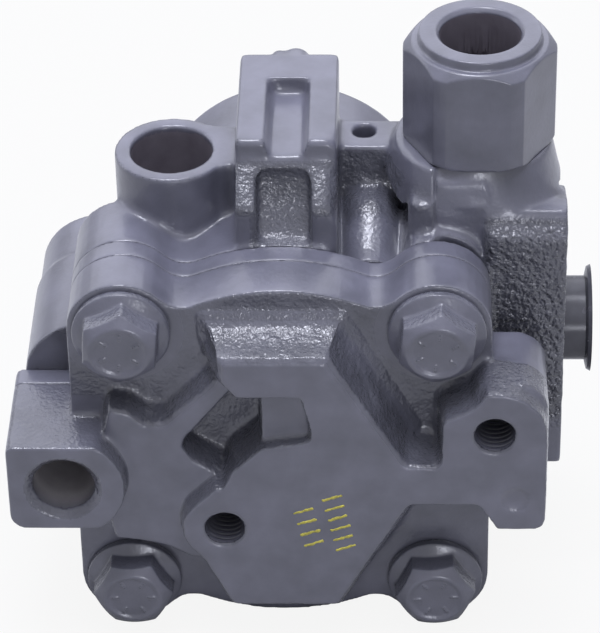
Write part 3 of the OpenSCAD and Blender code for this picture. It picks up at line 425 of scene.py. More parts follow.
def bore_to(points, axis, centre, start, end, found_r, wanted_r, reach=0.45):
    """Puts the wall of a round bore to an exact radius."""
    across = [k for k in range(3) if k != axis]
    off = points[:, across] - np.array(centre)
    r = np.hypot(off[:, 0], off[:, 1])
    wall = (abs(r - found_r) < reach) & (points[:, axis] > start) & (points[:, axis] < end)
    for k, side in enumerate(across):
        points[wall, side] = centre[k] + off[wall, k] / r[wall] * wanted_r


def near_box(points, low, high, fade):
    """1 inside a box, falling to 0 over the fade outside it."""
    out = np.maximum(np.maximum(np.array(low) - points, points - np.array(high)), 0)
    return np.clip(1 - np.linalg.norm(out, axis=1) / fade, 0, 1)


print("rounding helpers ready")

# %% [markdown]
# Paint draws back from outer edges and the grain shows there, which catches the light as a thin bright
# line. The edges are marked on the fine mesh, by how far a point stands out of its neighbours. Only then
# is the mesh thinned, because marks that are found on long thin triangles would be speckled.

# %% Grain and edges
EDGE_OUT, EDGE_GRAIN = (0.10, 0.22), 0.75
MOST_TRIANGLES = 190000


def set_grain(mesh, values, name="grain_and_shade"):
    """Stores a value per point, which the paint reads."""
    layer = mesh.attributes.new(name, "FLOAT", "POINT")
    layer.data.foreach_set("value", values.astype(np.float32))


def mark_edges(mesh):
    """Stores 1 on outer edges and 0 on flat parts."""
    a, b, links = edge_ends(mesh)
    at, count = points_of(mesh), len(mesh.vertices)
    length = np.linalg.norm(at[a] - at[b], axis=1)
    length = (np.bincount(a, length, count) + np.bincount(b, length, count)) / links
    out = ((at - neighbour_mean(at, a, b, links)) * points_of(mesh, "normal")).sum(1) / length
    set_grain(mesh, np.clip((out - EDGE_OUT[0]) / (EDGE_OUT[1] - EDGE_OUT[0]), 0, 1), "edge")


def thinned(mesh, most=MOST_TRIANGLES):
    """The mesh with its flat parts thinned, so that it stays below this many triangles."""
    count = sum(len(face.vertices) - 2 for face in mesh.polygons)
    return finished_mesh(mesh, "DECIMATE", ratio=most / count) if count > most else mesh


def grained(mesh, grain_of, most=MOST_TRIANGLES):
    """A thinned skin with its grain, which is strong along outer edges."""
    mark_edges(mesh)
    mesh = thinned(mesh, most)
    edges = np.empty(len(mesh.vertices), np.float32)
    mesh.attributes["edge"].data.foreach_get("value", edges)
    set_grain(mesh, np.maximum(grain_of(points_of(mesh), points_of(mesh, "normal")), EDGE_GRAIN * edges))
    return mesh


print("edges have a grain of", EDGE_GRAIN)

# %% [markdown]
# A finished piece rides on a body of the mechanism and stands for a CAD node, which it hides. The walls
# of reamed bores are bare oily metal, because paint only reaches their mouth. Their pale tone is also
# painted light, which lifts the shaded inside of each bore. So the faces inside a bore's radius get a
# material of their own, in which the paint fades out with depth.

# %% Finished pieces and bare bores with painted light
NORMAL_WEIGHT = 80


def shown_piece(name, mesh, material, body, *stands_for, sharp=None):
    """Turns a mesh in millimetres into a finished piece that rides on a body."""
    mesh.transform(Matrix.Scale(MM, 4))
    mesh.materials.clear()
    mesh.materials.append(material)
    mesh.shade_smooth()
    if sharp is not None:
        mesh.set_sharp_from_angle(angle=math.radians(sharp))
    mesh = finished_mesh(mesh, "WEIGHTED_NORMAL", weight=NORMAL_WEIGHT)
    mesh.name = name
    piece = bpy.data.objects.new(name, mesh)
    bpy.context.scene.collection.objects.link(piece)
    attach(piece, body)
    if stands_for:
        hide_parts(*stands_for)
    print(name, "triangles:", sum(len(face.vertices) - 2 for face in mesh.polygons))
    return piece


def line_bore(piece, material, axis, centre, start, end, r):
    """Gives the wall of a round bore its own material."""
    mesh = piece.data
    flat = np.empty(len(mesh.polygons) * 3, np.float32)
    mesh.polygons.foreach_get("center", flat)
    middle = flat.reshape(-1, 3) / MM
    across = [k for k in range(3) if k != axis]
    off = np.hypot(*(middle[:, across] - np.array(centre)).T)
    inside = (off < r) & (middle[:, axis] > start) & (middle[:, axis] < end)
    index = np.empty(len(mesh.polygons), np.int32)
    mesh.polygons.foreach_get("material_index", index)
    mesh.materials.append(material)
    index[inside] = len(mesh.materials) - 1
    mesh.polygons.foreach_set("material_index", index)
    print(piece.name, "bore faces:", int(inside.sum()))


def bore_with_painted_light(name, dark, light, sprayed=None):
    """Bare oily metal, as a reamer leaves it, in a tone that is partly painted light for the shaded bore.
    Paint fades out between the two depths along Y of sprayed.
    """
    made, tree, shader, where = new_material(name)
    cloud = spread(tree, noise(tree, where, 3.0, 3.0), 0, 1)
    colour = tones(tree, cloud, dark, light)
    if sprayed:
        parts = tree.nodes.new("ShaderNodeSeparateXYZ")
        tree.links.new(where, parts.inputs[0])
        bare = spread(tree, parts.outputs["Y"], 0, 1, *(depth * MM for depth in sprayed))
        colour = blend(tree, bare, tones(tree, cloud, *ROUGH_PAINT_AND_SHADE), colour)
    tree.links.new(colour, shader.inputs["Base Color"])
    tree.links.new(spread(tree, noise(tree, where, 1.5, 3.0), 0.30, 0.45), shader.inputs["Roughness"])
    tree.links.new(bump(tree, noise(tree, where, 0.5), 0.02, 0.5), shader.inputs["Normal"])
    return made


# Both tones are paler than the paint, partly as painted light inside the bores.
bare_bore_painted_light = bore_with_painted_light("reamed_bore_painted_light", (0.30, 0.285, 0.292), (0.38, 0.36, 0.37), sprayed=(1.3, 5.0))
oily_bore_painted_light = bore_with_painted_light("oily_bore_painted_light", (0.125, 0.112, 0.132), (0.160, 0.145, 0.168))
print("bore finishes:", bare_bore_painted_light.name, oily_bore_painted_light.name)

# %% [markdown]
# The rear cover is the piece that faces us: a raised centre with drafted walls, a lower left arm, core
# pockets, and bolt seats. Its top faces are milled and stay flat. Walls, pockets and the floor between
# the bolt seats keep the sand's grain. They, and the ear's top, are also painted darker as painted shade.
# The straight walls of the raised centre are hollowed to a quarter of an ellipse with a low step at the
# foot, as the mould has them.

# %% Rear cover: its grain and its coved walls
COVER_JOINT, BODY_JOINT = 19.2, 23.5
EAR_X, EAR_BORE, EAR_MOUTH = -39.2, 5.6, 1.5
EAR_RIGHT, EAR_HALF, EAR_GRAIN, EAR_TOP_GRAIN_AND_SHADE, MOUTH_GRAIN = -32, 14, 0.15, 0.4, 0.7
BOLT_X, BOLT_Z, SEAT_R, SEAT_FADE = 28.0, 28.4, 9.8, 2
MILLED_TO, RIM_R, RIM_START, RIM_GRAIN = 4.6, 34, 9.9, 0.12
FLOOR_Y, FLOOR_SPAN, FLOOR_LOW, FLOOR_GRAIN_AND_SHADE = 9, 3, -4, 0.65
WALL_START, WALL_END, WALL_STEP, WALL_MOST, WALL_FADE = 0.9, 10.2, 1.0, 4.6, 0.8
WALL_BOXES = ((-14.5, 0.9, 27.0), (13.5, 10.2, 34.0)), ((9.5, 0.9, 3.5), (34.0, 10.2, 34.0))


def cover_grain(points, normals):
    """How rough each spot of the cover is, with painted shade on its walls, pocket floors and the ear's top.
    """
    x, y, z = points.T
    milled = np.clip((-normals[:, 1] - 0.9) / 0.08, 0, 1) * (y < MILLED_TO)
    # Walls get more grain and a darker tone, which is partly painted shade.
    walls = 0.2 + 0.8 * np.clip(1.6 * (1 - abs(normals[:, 1])), 0, 1)
    rough = np.where((np.hypot(x, z) > RIM_R) & (y > RIM_START), RIM_GRAIN, walls)
    ear = (x < EAR_RIGHT) & (abs(z) < EAR_HALF)
    # The ear's up-facing top is painted darker, as painted shade.
    rough = np.where(ear, EAR_GRAIN + EAR_TOP_GRAIN_AND_SHADE * (normals[:, 2] > 0.7), rough) * (1 - 0.95 * milled)
    mouth = (np.hypot(x - EAR_X, z) < EAR_BORE + EAR_MOUTH) & (y < EAR_MOUTH)
    rough = np.where(mouth, MOUTH_GRAIN, rough)
    # Pocket floors away from the bolt seats are painted darker, as painted shade in the hollows.
    floor = (abs(y - FLOOR_Y) < FLOOR_SPAN) & (normals[:, 1] < -0.8) & (z > FLOOR_LOW) & ~ear
    from_seat = np.hypot(abs(x) - BOLT_X, z - BOLT_Z) - SEAT_R
    return np.where(floor, np.maximum(rough, FLOOR_GRAIN_AND_SHADE * np.clip(from_seat / SEAT_FADE, 0, 1)), rough)


def cove_walls(points, normals):
    """How far each spot of the raised centre's straight walls is hollowed."""
    flat = np.maximum(np.hypot(normals[:, 0], normals[:, 2]), 0.3)
    deep = WALL_END - WALL_START
    share = np.clip((points[:, 1] - WALL_START) / deep, 0, 1)
    arc = np.clip(share * deep / (deep - WALL_STEP), 0, 1)
    wide = np.minimum(deep * np.clip(-normals[:, 1], 0, 1) / flat, WALL_MOST)
    inside = np.maximum(*(near_box(points, *box, WALL_FADE) for box in WALL_BOXES)) * (normals[:, 1] < 0.2)
    return inside * wide * (share - 1 + np.sqrt(1 - arc**2)) / flat


print("walls are hollowed over", round(WALL_END - WALL_START, 1), "mm of depth")

# %% [markdown]
# The cover's skin is made step by step: remesh, a little rounding, the coved walls, strong fillets in
# the hollows, and lumps of two sizes on all rough spots. The two threaded holes are opened to the
# thread's root, and the ridges are added later.

# %% Rear cover: its skin
COVER_VOXEL, COVER_FILLETS = 0.34, 22
COVER_LUMPS = (0.07, 1.1, 1), (0.06, 2.6, 2)
TAPS = ((38.3, 12.1), (-10.3, -9.5))
TAP_CREST, TAP_ROOT, TAP_START, TAP_DEEP, TAP_REACH = 3.4, 4.05, 0.75, 11.0, 0.6

cover = merged_copy("rear_cover")
joint_spare(cover, COVER_JOINT, 1)
cover = remeshed(cover, COVER_VOXEL)
relax(cover, 3)
at, outward = points_of(cover), points_of(cover, "normal")
put_points(cover, at - outward * (1, 0, 1) * cove_walls(at, outward)[:, None])
relax(cover, COVER_FILLETS, hollows_only=True)
relax(cover, 2)
at = sanded(cover, cover_grain, COVER_LUMPS)
for x, z in TAPS:
    bore_to(at, 1, (x, z), TAP_START, TAP_DEEP, TAP_CREST, TAP_ROOT, TAP_REACH)
bore_to(at, 1, (EAR_X, 0), 1.2, 19, EAR_BORE, EAR_BORE)
joint_face(at, COVER_JOINT, 1)
put_points(cover, at)
painted_cover = shown_piece("painted_cover", grained(cover, cover_grain), enamel, "housing", "rear_cover")
line_bore(painted_cover, bare_bore_painted_light, 1, (EAR_X, 0), EAR_MOUTH, COVER_JOINT, EAR_BORE + 0.2)

# %% [markdown]
# The body casting behind the cover carries the ports, the slotted lug and the round nose. Three of its
# forms are shaped by moving points of the skin. The valve block's upper wall is set back behind a
# shoulder, and its top lowered beside the union's collar. The cast passage slopes down to the joint. The
# left block's upper corner, which the solid makes of short flats, is put on a true arc.

# %% Pump body: shaping the skin
BLOCK_LEFT, PANEL_EDGE, SHOULDER, SET_BACK, TOP_SQUEEZE = 37.0, (27.3, 27.9), (37.9, 39.5), 2.2, 0.3
PANEL_DEEP, PANEL_FOOT, COLLAR, COLLAR_FADE = (26, 34), (18, 22), (34.6, 40.6), (14.3, 17.2)
PASSAGE_X, PASSAGE_TOP, PASSAGE_HALF, PASSAGE_DROP, PASSAGE_END = 16.0, 33.4, 5.6, 5.0, 37
LEFT_CORNERS, LEFT_R = (((-35.9, 8.0), 23.0, 47.0), ((-35.4, 7.5), 47.0, 60.0)), 11.5


def eased(value, start, end):
    """0 before start, 1 after end, and a soft S between them."""
    t = np.clip((value - start) / (end - start), 0, 1)
    return t * t * (3 - 2 * t)


def shape_block(points):
    """Sets the valve block's upper wall back, and lowers its top beside the collar."""
    x, y, z = points.T
    high = np.where(x < BLOCK_LEFT, 1, eased(z, *SHOULDER))
    wall = eased(x, *PANEL_EDGE) * high * (1 - eased(y, *PANEL_DEEP)) * eased(z, *PANEL_FOOT)
    beside = eased(np.hypot(x - COLLAR[0], y - COLLAR[1]), *COLLAR_FADE) * (x > BLOCK_LEFT)
    points[:, 1] = y + SET_BACK * wall
    points[:, 2] = z - beside * (1 - TOP_SQUEEZE) * np.maximum(z - SHOULDER[1], 0)


def shape_passage(points):
    """Lets the cast passage slope down to the joint."""
    x, y, z = points.T
    near = 1 - eased(abs(x - PASSAGE_X), PASSAGE_HALF - 0.5, PASSAGE_HALF + 2)
    near = near * eased(z, PASSAGE_TOP - 3, PASSAGE_TOP)
    points[:, 2] = z - PASSAGE_DROP * near * (1 - eased(y, BODY_JOINT, PASSAGE_END))


def round_corner(points, normals):
    """Puts the left block's upper corner on an arc, for each of the block's two steps."""
    for centre, start, end in LEFT_CORNERS:
        off = points[:, (0, 2)] - centre
        r = np.hypot(*off.T)
        skin = (off[:, 0] < 0) & (off[:, 1] > 0) & (abs(r - LEFT_R) < 0.25) & (abs(normals[:, 1]) < 0.3)
        skin &= (points[:, 1] > start) & (points[:, 1] < end)
        points[np.ix_(skin, (0, 2))] = centre + off[skin] * (LEFT_R / r[skin])[:, None]


print("the valve block's wall is set back by", SET_BACK, "mm")

# %% [markdown]
# Lug legs, the wall below the pad and the valve block were never machined and glitter most, so they are
# named as boxes with a strong grain. The stub behind the lug is where the gate of the mould was broken
# off: two egg shapes are put into the mesh, and the remesh melts them into the casting.

# %% Pump body: its skin
BODY_VOXEL, BODY_FILLETS = 0.45, 14
BODY_LUMPS = (0.09, 1.3, 3), (0.07, 3.0, 4)
GATE_STUBS = (((2.15, 61.2, 52.1), (2.9, 3.7, 1.85)), ((-0.9, 61.2, 52.2), (1.7, 2.7, 1.75)))
ROUGH_BOXES = (
    ((-8.2, 23.0, 43.5), (10.4, 31.0, 49.6), 1.0, 1.0),
    ((-5.0, 23.5, 36.0), (5.6, 31.5, 49.0), 0.9, 0.6),
    ((11.0, 33.0, 36.0), (27.0, 40.6, 45.5), 0.9, 1.5),
    ((11.0, 23.0, 26.0), (27.0, 33.0, 45.5), 0.4, 1.5),
    ((37.0, 23.0, 36.5), (51.5, 28.6, 40.2), 1.0, 1.0),
    ((37.0, 23.0, -2.0), (51.5, 25.6, 38.0), 1.0, 1.5),
)
LUMPY_BOX, LUMPY_FADE = ((37.5, 23.0, -4.0), (51.5, 25.4, 39.0)), 1.5
BODY_GRAIN, MILLED_GRAIN, NOSE_GRAIN, MILLED_ABOVE, NOSE_START = 0.14, 0.05, 0.1, 46, 64
SUCTION, SUCTION_R, SUCTION_LINED = (-20.0, 40.6), 7.45, 7.6


def add_lump(mesh, middle, radii):
    """Adds a closed egg shape."""
    shape = bmesh.new()
    shape.from_mesh(mesh)
    bmesh.ops.create_uvsphere(shape, u_segments=24, v_segments=12, radius=1,
                              matrix=Matrix.Translation(middle) @ Matrix.Diagonal((*radii, 1)))
    shape.to_mesh(mesh)
    shape.free()


def body_grain(points, normals):
    """How rough each spot of the body is."""
    rough = np.full(len(points), BODY_GRAIN)
    for low, high, most, fade in ROUGH_BOXES:
        rough = np.maximum(rough, most * near_box(points, low, high, fade))
    milled = (normals[:, 2] > 0.97) & (points[:, 2] > MILLED_ABOVE)
    return np.where(milled, MILLED_GRAIN, np.where(points[:, 1] > NOSE_START, NOSE_GRAIN, rough))


body = merged_copy("pump_body")
joint_spare(body, BODY_JOINT, -1)
for middle, radii in GATE_STUBS:
    add_lump(body, middle, radii)
body = remeshed(body, BODY_VOXEL)
at = points_of(body)
round_corner(at, points_of(body, "normal"))
shape_block(at)
shape_passage(at)
put_points(body, at)
relax(body, 2)
relax(body, BODY_FILLETS, hollows_only=True)
relax(body, 2)
at = sanded(body, body_grain, BODY_LUMPS)
bore_to(at, 2, SUCTION, 29.5, 45.6, SUCTION_R, SUCTION_R)
bore_to(at, 1, (EAR_X, 0), 23, 59, EAR_BORE, EAR_BORE)
joint_face(at, BODY_JOINT, -1)
put_points(body, at)
body = grained(body, body_grain)
set_grain(body, near_box(points_of(body), *LUMPY_BOX, LUMPY_FADE), "lumpy")
painted_body = shown_piece("painted_body", body, enamel, "housing", "pump_body")
line_bore(painted_body, bare_bore_painted_light, 1, (EAR_X, 0), BODY_JOINT, 60, EAR_BORE + 0.2)
line_bore(painted_body, oily_bore_painted_light, 2, SUCTION, 20, 45.4, SUCTION_LINED)

# %% [markdown]
# The middle plate shows only its rim, as two seams round the flange. Both its faces are milled, so both
# joints are kept crisp, and the small round of the rim's edges is what makes the seams visible.

# %% Middle plate
PLATE_VOXEL, PLATE_TRIANGLES, PLATE_GRAIN = 0.4, 60000, 0.15
plate = merged_copy("middle_plate")
joint_spare(plate, COVER_JOINT, -1)
joint_spare(plate, BODY_JOINT, 1)
plate = remeshed(plate, PLATE_VOXEL)
relax(plate, 4)
at = points_of(plate)
joint_face(at, COVER_JOINT, -1)
joint_face(at, BODY_JOINT, 1)
put_points(plate, at)
plate = grained(plate, lambda points, normals: PLATE_GRAIN, PLATE_TRIANGLES)
shown_piece("painted_plate", plate, enamel, "housing", "middle_plate")

# %% [markdown]
# Four flange bolts hold the cover. They are one bolt at four places with four turns, so one bolt is
# dressed first. The head's face is dished, with six short raised bars at even turns near its rim, as a
# plain strength mark. The sides of the hexagon get more grain, and a darker tone that is painted shade.

# %% One bolt
SEAT_Y, HEAD_Y = 9.7, 2.7
BOLT_TURNS = ((-1, 1, 34), (1, 1, 36), (-1, -1, -1), (1, -1, -5))
BOLT_VOXEL, BOLT_TRIANGLES, FACE_GRAIN, SIDE_GRAIN_AND_SHADE = 0.2, 44000, 0.18, 0.42
DISH_R, DISH_DEEP, DISH_SLOPE = 4.9, 0.35, 0.7
BAR_TURNS, BAR_START, BAR_END, BAR_HALF, BAR_RISE = range(0, 360, 60), 2.9, 3.9, 0.3, 0.22


def first_bolt():
    """The CAD bolt at the upper left, moved to the origin and turned back to zero."""
    mesh = merged_copy("cover_bolts")
    side, height, turn = BOLT_TURNS[0]
    shape = bmesh.new()
    shape.from_mesh(mesh)
    others = [v for v in shape.verts if v.co.x * side < 0 or v.co.z * height < 0]
    bmesh.ops.delete(shape, geom=others, context="VERTS")
    shape.to_mesh(mesh)
    shape.free()
    mesh.transform(Matrix.Rotation(math.radians(-turn), 4, "Y")
                   @ Matrix.Translation((-side * BOLT_X, -SEAT_Y, -height * BOLT_Z)))
    return mesh


def bolt_grain(points, normals):
    """How rough each spot of the bolt is, with painted shade on the hexagon's sides."""
    return FACE_GRAIN + SIDE_GRAIN_AND_SHADE * np.clip(1.6 * (1 - abs(normals[:, 1])) - 0.3, 0, 1)


bolt = remeshed(first_bolt(), BOLT_VOXEL)
relax(bolt, 5)
at = points_of(bolt)
on_face = at[:, 1] < HEAD_Y - SEAT_Y + 0.3
sunk = DISH_DEEP * np.clip((DISH_R - np.hypot(at[:, 0], at[:, 2])) / DISH_SLOPE, 0, 1)
for turn in BAR_TURNS:
    out = at[:, 0] * math.cos(math.radians(turn)) + at[:, 2] * math.sin(math.radians(turn))
    aside = at[:, 2] * math.cos(math.radians(turn)) - at[:, 0] * math.sin(math.radians(turn))
    off = np.hypot(out - np.clip(out, BAR_START, BAR_END), aside)
    sunk -= BAR_RISE * np.clip((BAR_HALF + 0.15 - off) / 0.3, 0, 1)
at[:, 1] += np.where(on_face, sunk, 0)
put_points(bolt, at)
bolt = grained(bolt, bolt_grain, BOLT_TRIANGLES)
bolt_model = bpy.data.objects.new("bolt_model", bolt)
bpy.context.scene.collection.objects.link(bolt_model)
print("one bolt has", len(bolt.polygons), "faces")

# %% [markdown]
# Geometry Nodes then put a copy of the bolt on each of four points, which stand for the seats. Each point
# carries its bolt's turn as an attribute, as wrenches leave bolts at any turn. The result is made real
# and gets the paint, so that the four bolts are one plain mesh.

# %% Four bolts with Geometry Nodes
def new_tree(name, **inputs):
    """An empty node tree with named inputs, and the identifier of each."""
    tree = bpy.data.node_groups.new(name, "GeometryNodeTree")
    tree.interface.new_socket("Geometry", in_out="INPUT", socket_type="NodeSocketGeometry")
    tree.interface.new_socket("Geometry", in_out="OUTPUT", socket_type="NodeSocketGeometry")
    keys = {label: tree.interface.new_socket(label.replace("_", " "), in_out="INPUT",
                                             socket_type="NodeSocket" + kind).identifier
            for label, kind in inputs.items()}
    return tree, keys, tree.nodes.new("NodeGroupInput"), tree.nodes.new("NodeGroupOutput")


def end_tree(tree, source, result, shape, material_key):
    """Ends a tree with plain geometry that has its material."""
    real = tree.nodes.new("GeometryNodeRealizeInstances")
    coat = tree.nodes.new("GeometryNodeSetMaterial")
    tree.links.new(shape, real.inputs["Geometry"])
    tree.links.new(real.outputs["Geometry"], coat.inputs["Geometry"])
    tree.links.new(next(s for s in source.outputs if s.identifier == material_key), coat.inputs["Material"])
    tree.links.new(coat.outputs["Geometry"], result.inputs["Geometry"])


def grown_mesh(tree, values, spots, **attributes):
    """Runs a tree on a set of points and returns the plain mesh."""
    dots = bpy.data.meshes.new("dots")
    dots.from_pydata(spots, [], [])
    for name, numbers in attributes.items():
        dots.attributes.new(name, "FLOAT", "POINT").data.foreach_set("value", numbers)
    holder = bpy.data.objects.new("holder", dots)
    bpy.context.scene.collection.objects.link(holder)
    step = holder.modifiers.new("nodes", "NODES")
    step.node_group = tree
    for key, value in values.items():
        step[key] = value
    made = bpy.data.meshes.new_from_object(holder.evaluated_get(bpy.context.evaluated_depsgraph_get()))
    bpy.data.objects.remove(holder)
    return made


def bolts_tree():
    """A tree that puts a bolt on each point, turned about Y by the point's attribute."""
    tree, keys, source, result = new_tree("bolts_on_seats", Bolt="Object", Finish="Material")
    pick = {s.identifier: s for s in source.outputs}
    model = tree.nodes.new("GeometryNodeObjectInfo")
    tree.links.new(pick[keys["Bolt"]], model.inputs["Object"])
    turn = tree.nodes.new("GeometryNodeInputNamedAttribute")
    turn.data_type = "FLOAT"
    turn.inputs["Name"].default_value = "turn"
    about_y = tree.nodes.new("ShaderNodeCombineXYZ")
    tree.links.new(turn.outputs["Attribute"], about_y.inputs["Y"])
    spin = tree.nodes.new("FunctionNodeEulerToRotation")
    tree.links.new(about_y.outputs[0], spin.inputs[0])
    copies = tree.nodes.new("GeometryNodeInstanceOnPoints")
    tree.links.new(source.outputs["Geometry"], copies.inputs["Points"])
    tree.links.new(model.outputs["Geometry"], copies.inputs["Instance"])
    tree.links.new(spin.outputs[0], copies.inputs["Rotation"])
    end_tree(tree, source, result, copies.outputs["Instances"], keys["Finish"])
    return tree, keys


tree, keys = bolts_tree()
bolts = grown_mesh(tree, {keys["Bolt"]: bolt_model, keys["Finish"]: enamel},
                   [(side * BOLT_X, SEAT_Y, height * BOLT_Z) for side, height, _ in BOLT_TURNS],
                   turn=[math.radians(turn) for _, _, turn in BOLT_TURNS])
bpy.data.objects.remove(bolt_model)
shown_piece("painted_bolts", bolts, enamel, "housing", "cover_bolts")

# %% [markdown]
# The union is a hexagon of bar steel with a raised ring on top. Its edges are turned, so they get only
# a small round. The hose's thread starts some way down the bore, below a plain lead-in.

# %% Outlet union
UNION_X, UNION_Y = 35.6, 40.6
UNION_CREST, UNION_ROOT, UNION_LOW, UNION_HIGH = 7.25, 7.95, 56.6, 62.0
UNION_VOXEL, UNION_TRIANGLES, UNION_GRAIN = 0.2, 120000, 0.1
union = remeshed(merged_copy("outlet_union"), UNION_VOXEL)
relax(union, 3)
at = points_of(union)
bore_to(at, 2, (UNION_X, UNION_Y), UNION_LOW, UNION_HIGH, UNION_CREST, UNION_ROOT, 0.6)
put_points(union, at)
union = thinned(union, UNION_TRIANGLES)
set_grain(union, np.full(len(union.vertices), UNION_GRAIN))
painted_union = shown_piece("painted_union", union, enamel, "housing", "outlet_union")
line_bore(painted_union, oily_bore_painted_light, 2, (UNION_X, UNION_Y), 45, 70.4, UNION_ROOT + 0.1)

# %% [markdown]
# A cut thread is one ridge that winds along the hole. Geometry Nodes sweep a triangle along a spiral:
# three corners give the sixty degree flanks of a metric thread, and the pitch sets its size. The same
# tree makes the threads of the cover, the union and the shaft's end.

# %% Threads
M8_PITCH, HOSE_PITCH, THREAD_GRAIN = 1.25, 1.5, 0.1
TO_DRIVE_END, TO_REAR, UPWARDS = -math.pi / 2, math.pi / 2, 0.0


def thread_tree():
    """A tree that winds a three-sided ridge up from each point, tilted about X."""
    tree, keys, source, result = new_tree("cut_thread", Crest_radius="Float", Pitch="Float", Turns="Float",
                                          Tilt="Float", Finish="Material")
    pick = {label: next(s for s in source.outputs if s.identifier == key) for label, key in keys.items()}
    corner = maths(tree, "DIVIDE", pick["Pitch"], math.sqrt(3))
    path = tree.nodes.new("GeometryNodeCurveSpiral")
    path.inputs["Resolution"].default_value = 40
    path.inputs["Reverse"].default_value = True
    tree.links.new(pick["Turns"], path.inputs["Rotations"])
    for name in ("Start Radius", "End Radius"):
        tree.links.new(maths(tree, "ADD", pick["Crest_radius"], corner), path.inputs[name])
    tree.links.new(maths(tree, "MULTIPLY", pick["Pitch"], pick["Turns"]), path.inputs["Height"])
    upright = tree.nodes.new("GeometryNodeSetCurveNormal")
    upright.mode = "Z_UP"
    tree.links.new(path.outputs[0], upright.inputs["Curve"])
    ridge = tree.nodes.new("GeometryNodeCurvePrimitiveCircle")
    ridge.inputs["Resolution"].default_value = 3
    tree.links.new(corner, ridge.inputs["Radius"])
    inward = tree.nodes.new("GeometryNodeTransform")
    inward.inputs["Rotation"].default_value = (0, 0, math.pi)
    tree.links.new(ridge.outputs["Curve"], inward.inputs["Geometry"])
    sweep = tree.nodes.new("GeometryNodeCurveToMesh")
    sweep.inputs["Fill Caps"].default_value = True
    tree.links.new(upright.outputs[0], sweep.inputs["Curve"])
    tree.links.new(inward.outputs[0], sweep.inputs["Profile Curve"])
    tilt = tree.nodes.new("ShaderNodeCombineXYZ")
    tree.links.new(pick["Tilt"], tilt.inputs["X"])
    spin = tree.nodes.new("FunctionNodeEulerToRotation")
    tree.links.new(tilt.outputs[0], spin.inputs[0])
    copies = tree.nodes.new("GeometryNodeInstanceOnPoints")
    tree.links.new(source.outputs["Geometry"], copies.inputs["Points"])
    tree.links.new(sweep.outputs["Mesh"], copies.inputs["Instance"])
    tree.links.new(spin.outputs[0], copies.inputs["Rotation"])
    end_tree(tree, source, result, copies.outputs["Instances"], keys["Finish"])
    return tree, keys


thread, thread_keys = thread_tree()


def cut_thread(name, body, material, spots, crest, pitch, length, tilt):
    """Ridges of the thread in each hole of this size."""
    values = {"Crest_radius": crest, "Pitch": pitch, "Turns": length / pitch,
              "Tilt": tilt, "Finish": material}
    made = grown_mesh(thread, {thread_keys[k]: v for k, v in values.items()}, spots)
    set_grain(made, np.full(len(made.vertices), THREAD_GRAIN))
    return shown_piece(name, made, material, body, sharp=35)


cut_thread("cover_threads", "housing", enamel, [(x, 0.9, z) for x, z in TAPS],
                   TAP_CREST, M8_PITCH, TAP_DEEP - 1.4, TO_DRIVE_END)
cut_thread("union_thread", "housing", oily_bore_painted_light, [(UNION_X, UNION_Y, UNION_LOW + 0.4)],
                   UNION_CREST, HOSE_PITCH, UNION_HIGH - UNION_LOW - 0.8, UPWARDS)

# %% [markdown]
# The pieces inside, and those at the drive end, are bare metal, rubber and plastic. Their CAD meshes
# are already right, so they only get materials: ground steel with fine turning lines, darker hardened
# steel, bearing bronze, dull rubber and moulded plastic, each with its own slight unevenness.

# %% Metals, rubber and plastic
def bare_metal(name, dark, light, smooth, dull):
    """Metal with fine lines round the shaft's axis. Smooth and dull are the ends of its roughness."""
    made, tree, shader, where = new_material(name)
    stretch = tree.nodes.new("ShaderNodeMapping")
    stretch.inputs["Scale"].default_value = (0.25, 4.0, 0.25)
    tree.links.new(where, stretch.inputs["Vector"])
    lines = noise(tree, stretch.outputs["Vector"], 1.2, 3.0)
    shader.inputs["Metallic"].default_value = 1.0
    tree.links.new(tones(tree, spread(tree, noise(tree, where, 6.0, 3.0), 0, 1), dark, light),
                   shader.inputs["Base Color"])
    tree.links.new(spread(tree, lines, smooth, dull), shader.inputs["Roughness"])
    tree.links.new(bump(tree, lines, 0.01, 0.5), shader.inputs["Normal"])
    return made


def moulded(name, dark, light, smooth, dull, lump_mm):
    """Rubber or plastic with soft clouds of this size."""
    made, tree, shader, where = new_material(name)
    cloud = noise(tree, where, lump_mm, 3.0)
    tree.links.new(tones(tree, spread(tree, cloud, 0, 1), dark, light), shader.inputs["Base Color"])
    tree.links.new(spread(tree, cloud, smooth, dull), shader.inputs["Roughness"])
    tree.links.new(bump(tree, noise(tree, where, 0.4), 0.01, 0.4), shader.inputs["Normal"])
    return made


finishes = {
    "bright_steel": bare_metal("ground_steel", (0.52, 0.52, 0.54), (0.63, 0.63, 0.64), 0.20, 0.34),
    "dark_steel": bare_metal("hardened_steel", (0.20, 0.20, 0.22), (0.28, 0.28, 0.30), 0.30, 0.45),
    "bronze": bare_metal("bearing_bronze", (0.50, 0.34, 0.17), (0.62, 0.43, 0.22), 0.26, 0.40),
    "black_rubber": moulded("dull_rubber", (0.016, 0.016, 0.017), (0.026, 0.026, 0.028), 0.50, 0.68, 2.0),
    "black_plastic": moulded("moulded_plastic", (0.055, 0.055, 0.065), (0.075, 0.075, 0.088),
                             0.16, 0.28, 4.0),
    "black_paint": enamel,
}
for node in nodes.values():
    slot_name = node.data.materials[0].name.split(".")[0]
    node.data.materials[0] = finishes[slot_name]
print("finishes:", ", ".join(sorted(finishes)))

# %% [markdown]
# The shaft's end has a thread for the pulley's bolt. A copy of the shaft gets its hole opened to the
# thread's root, and the ridge goes into it, as in the cover.

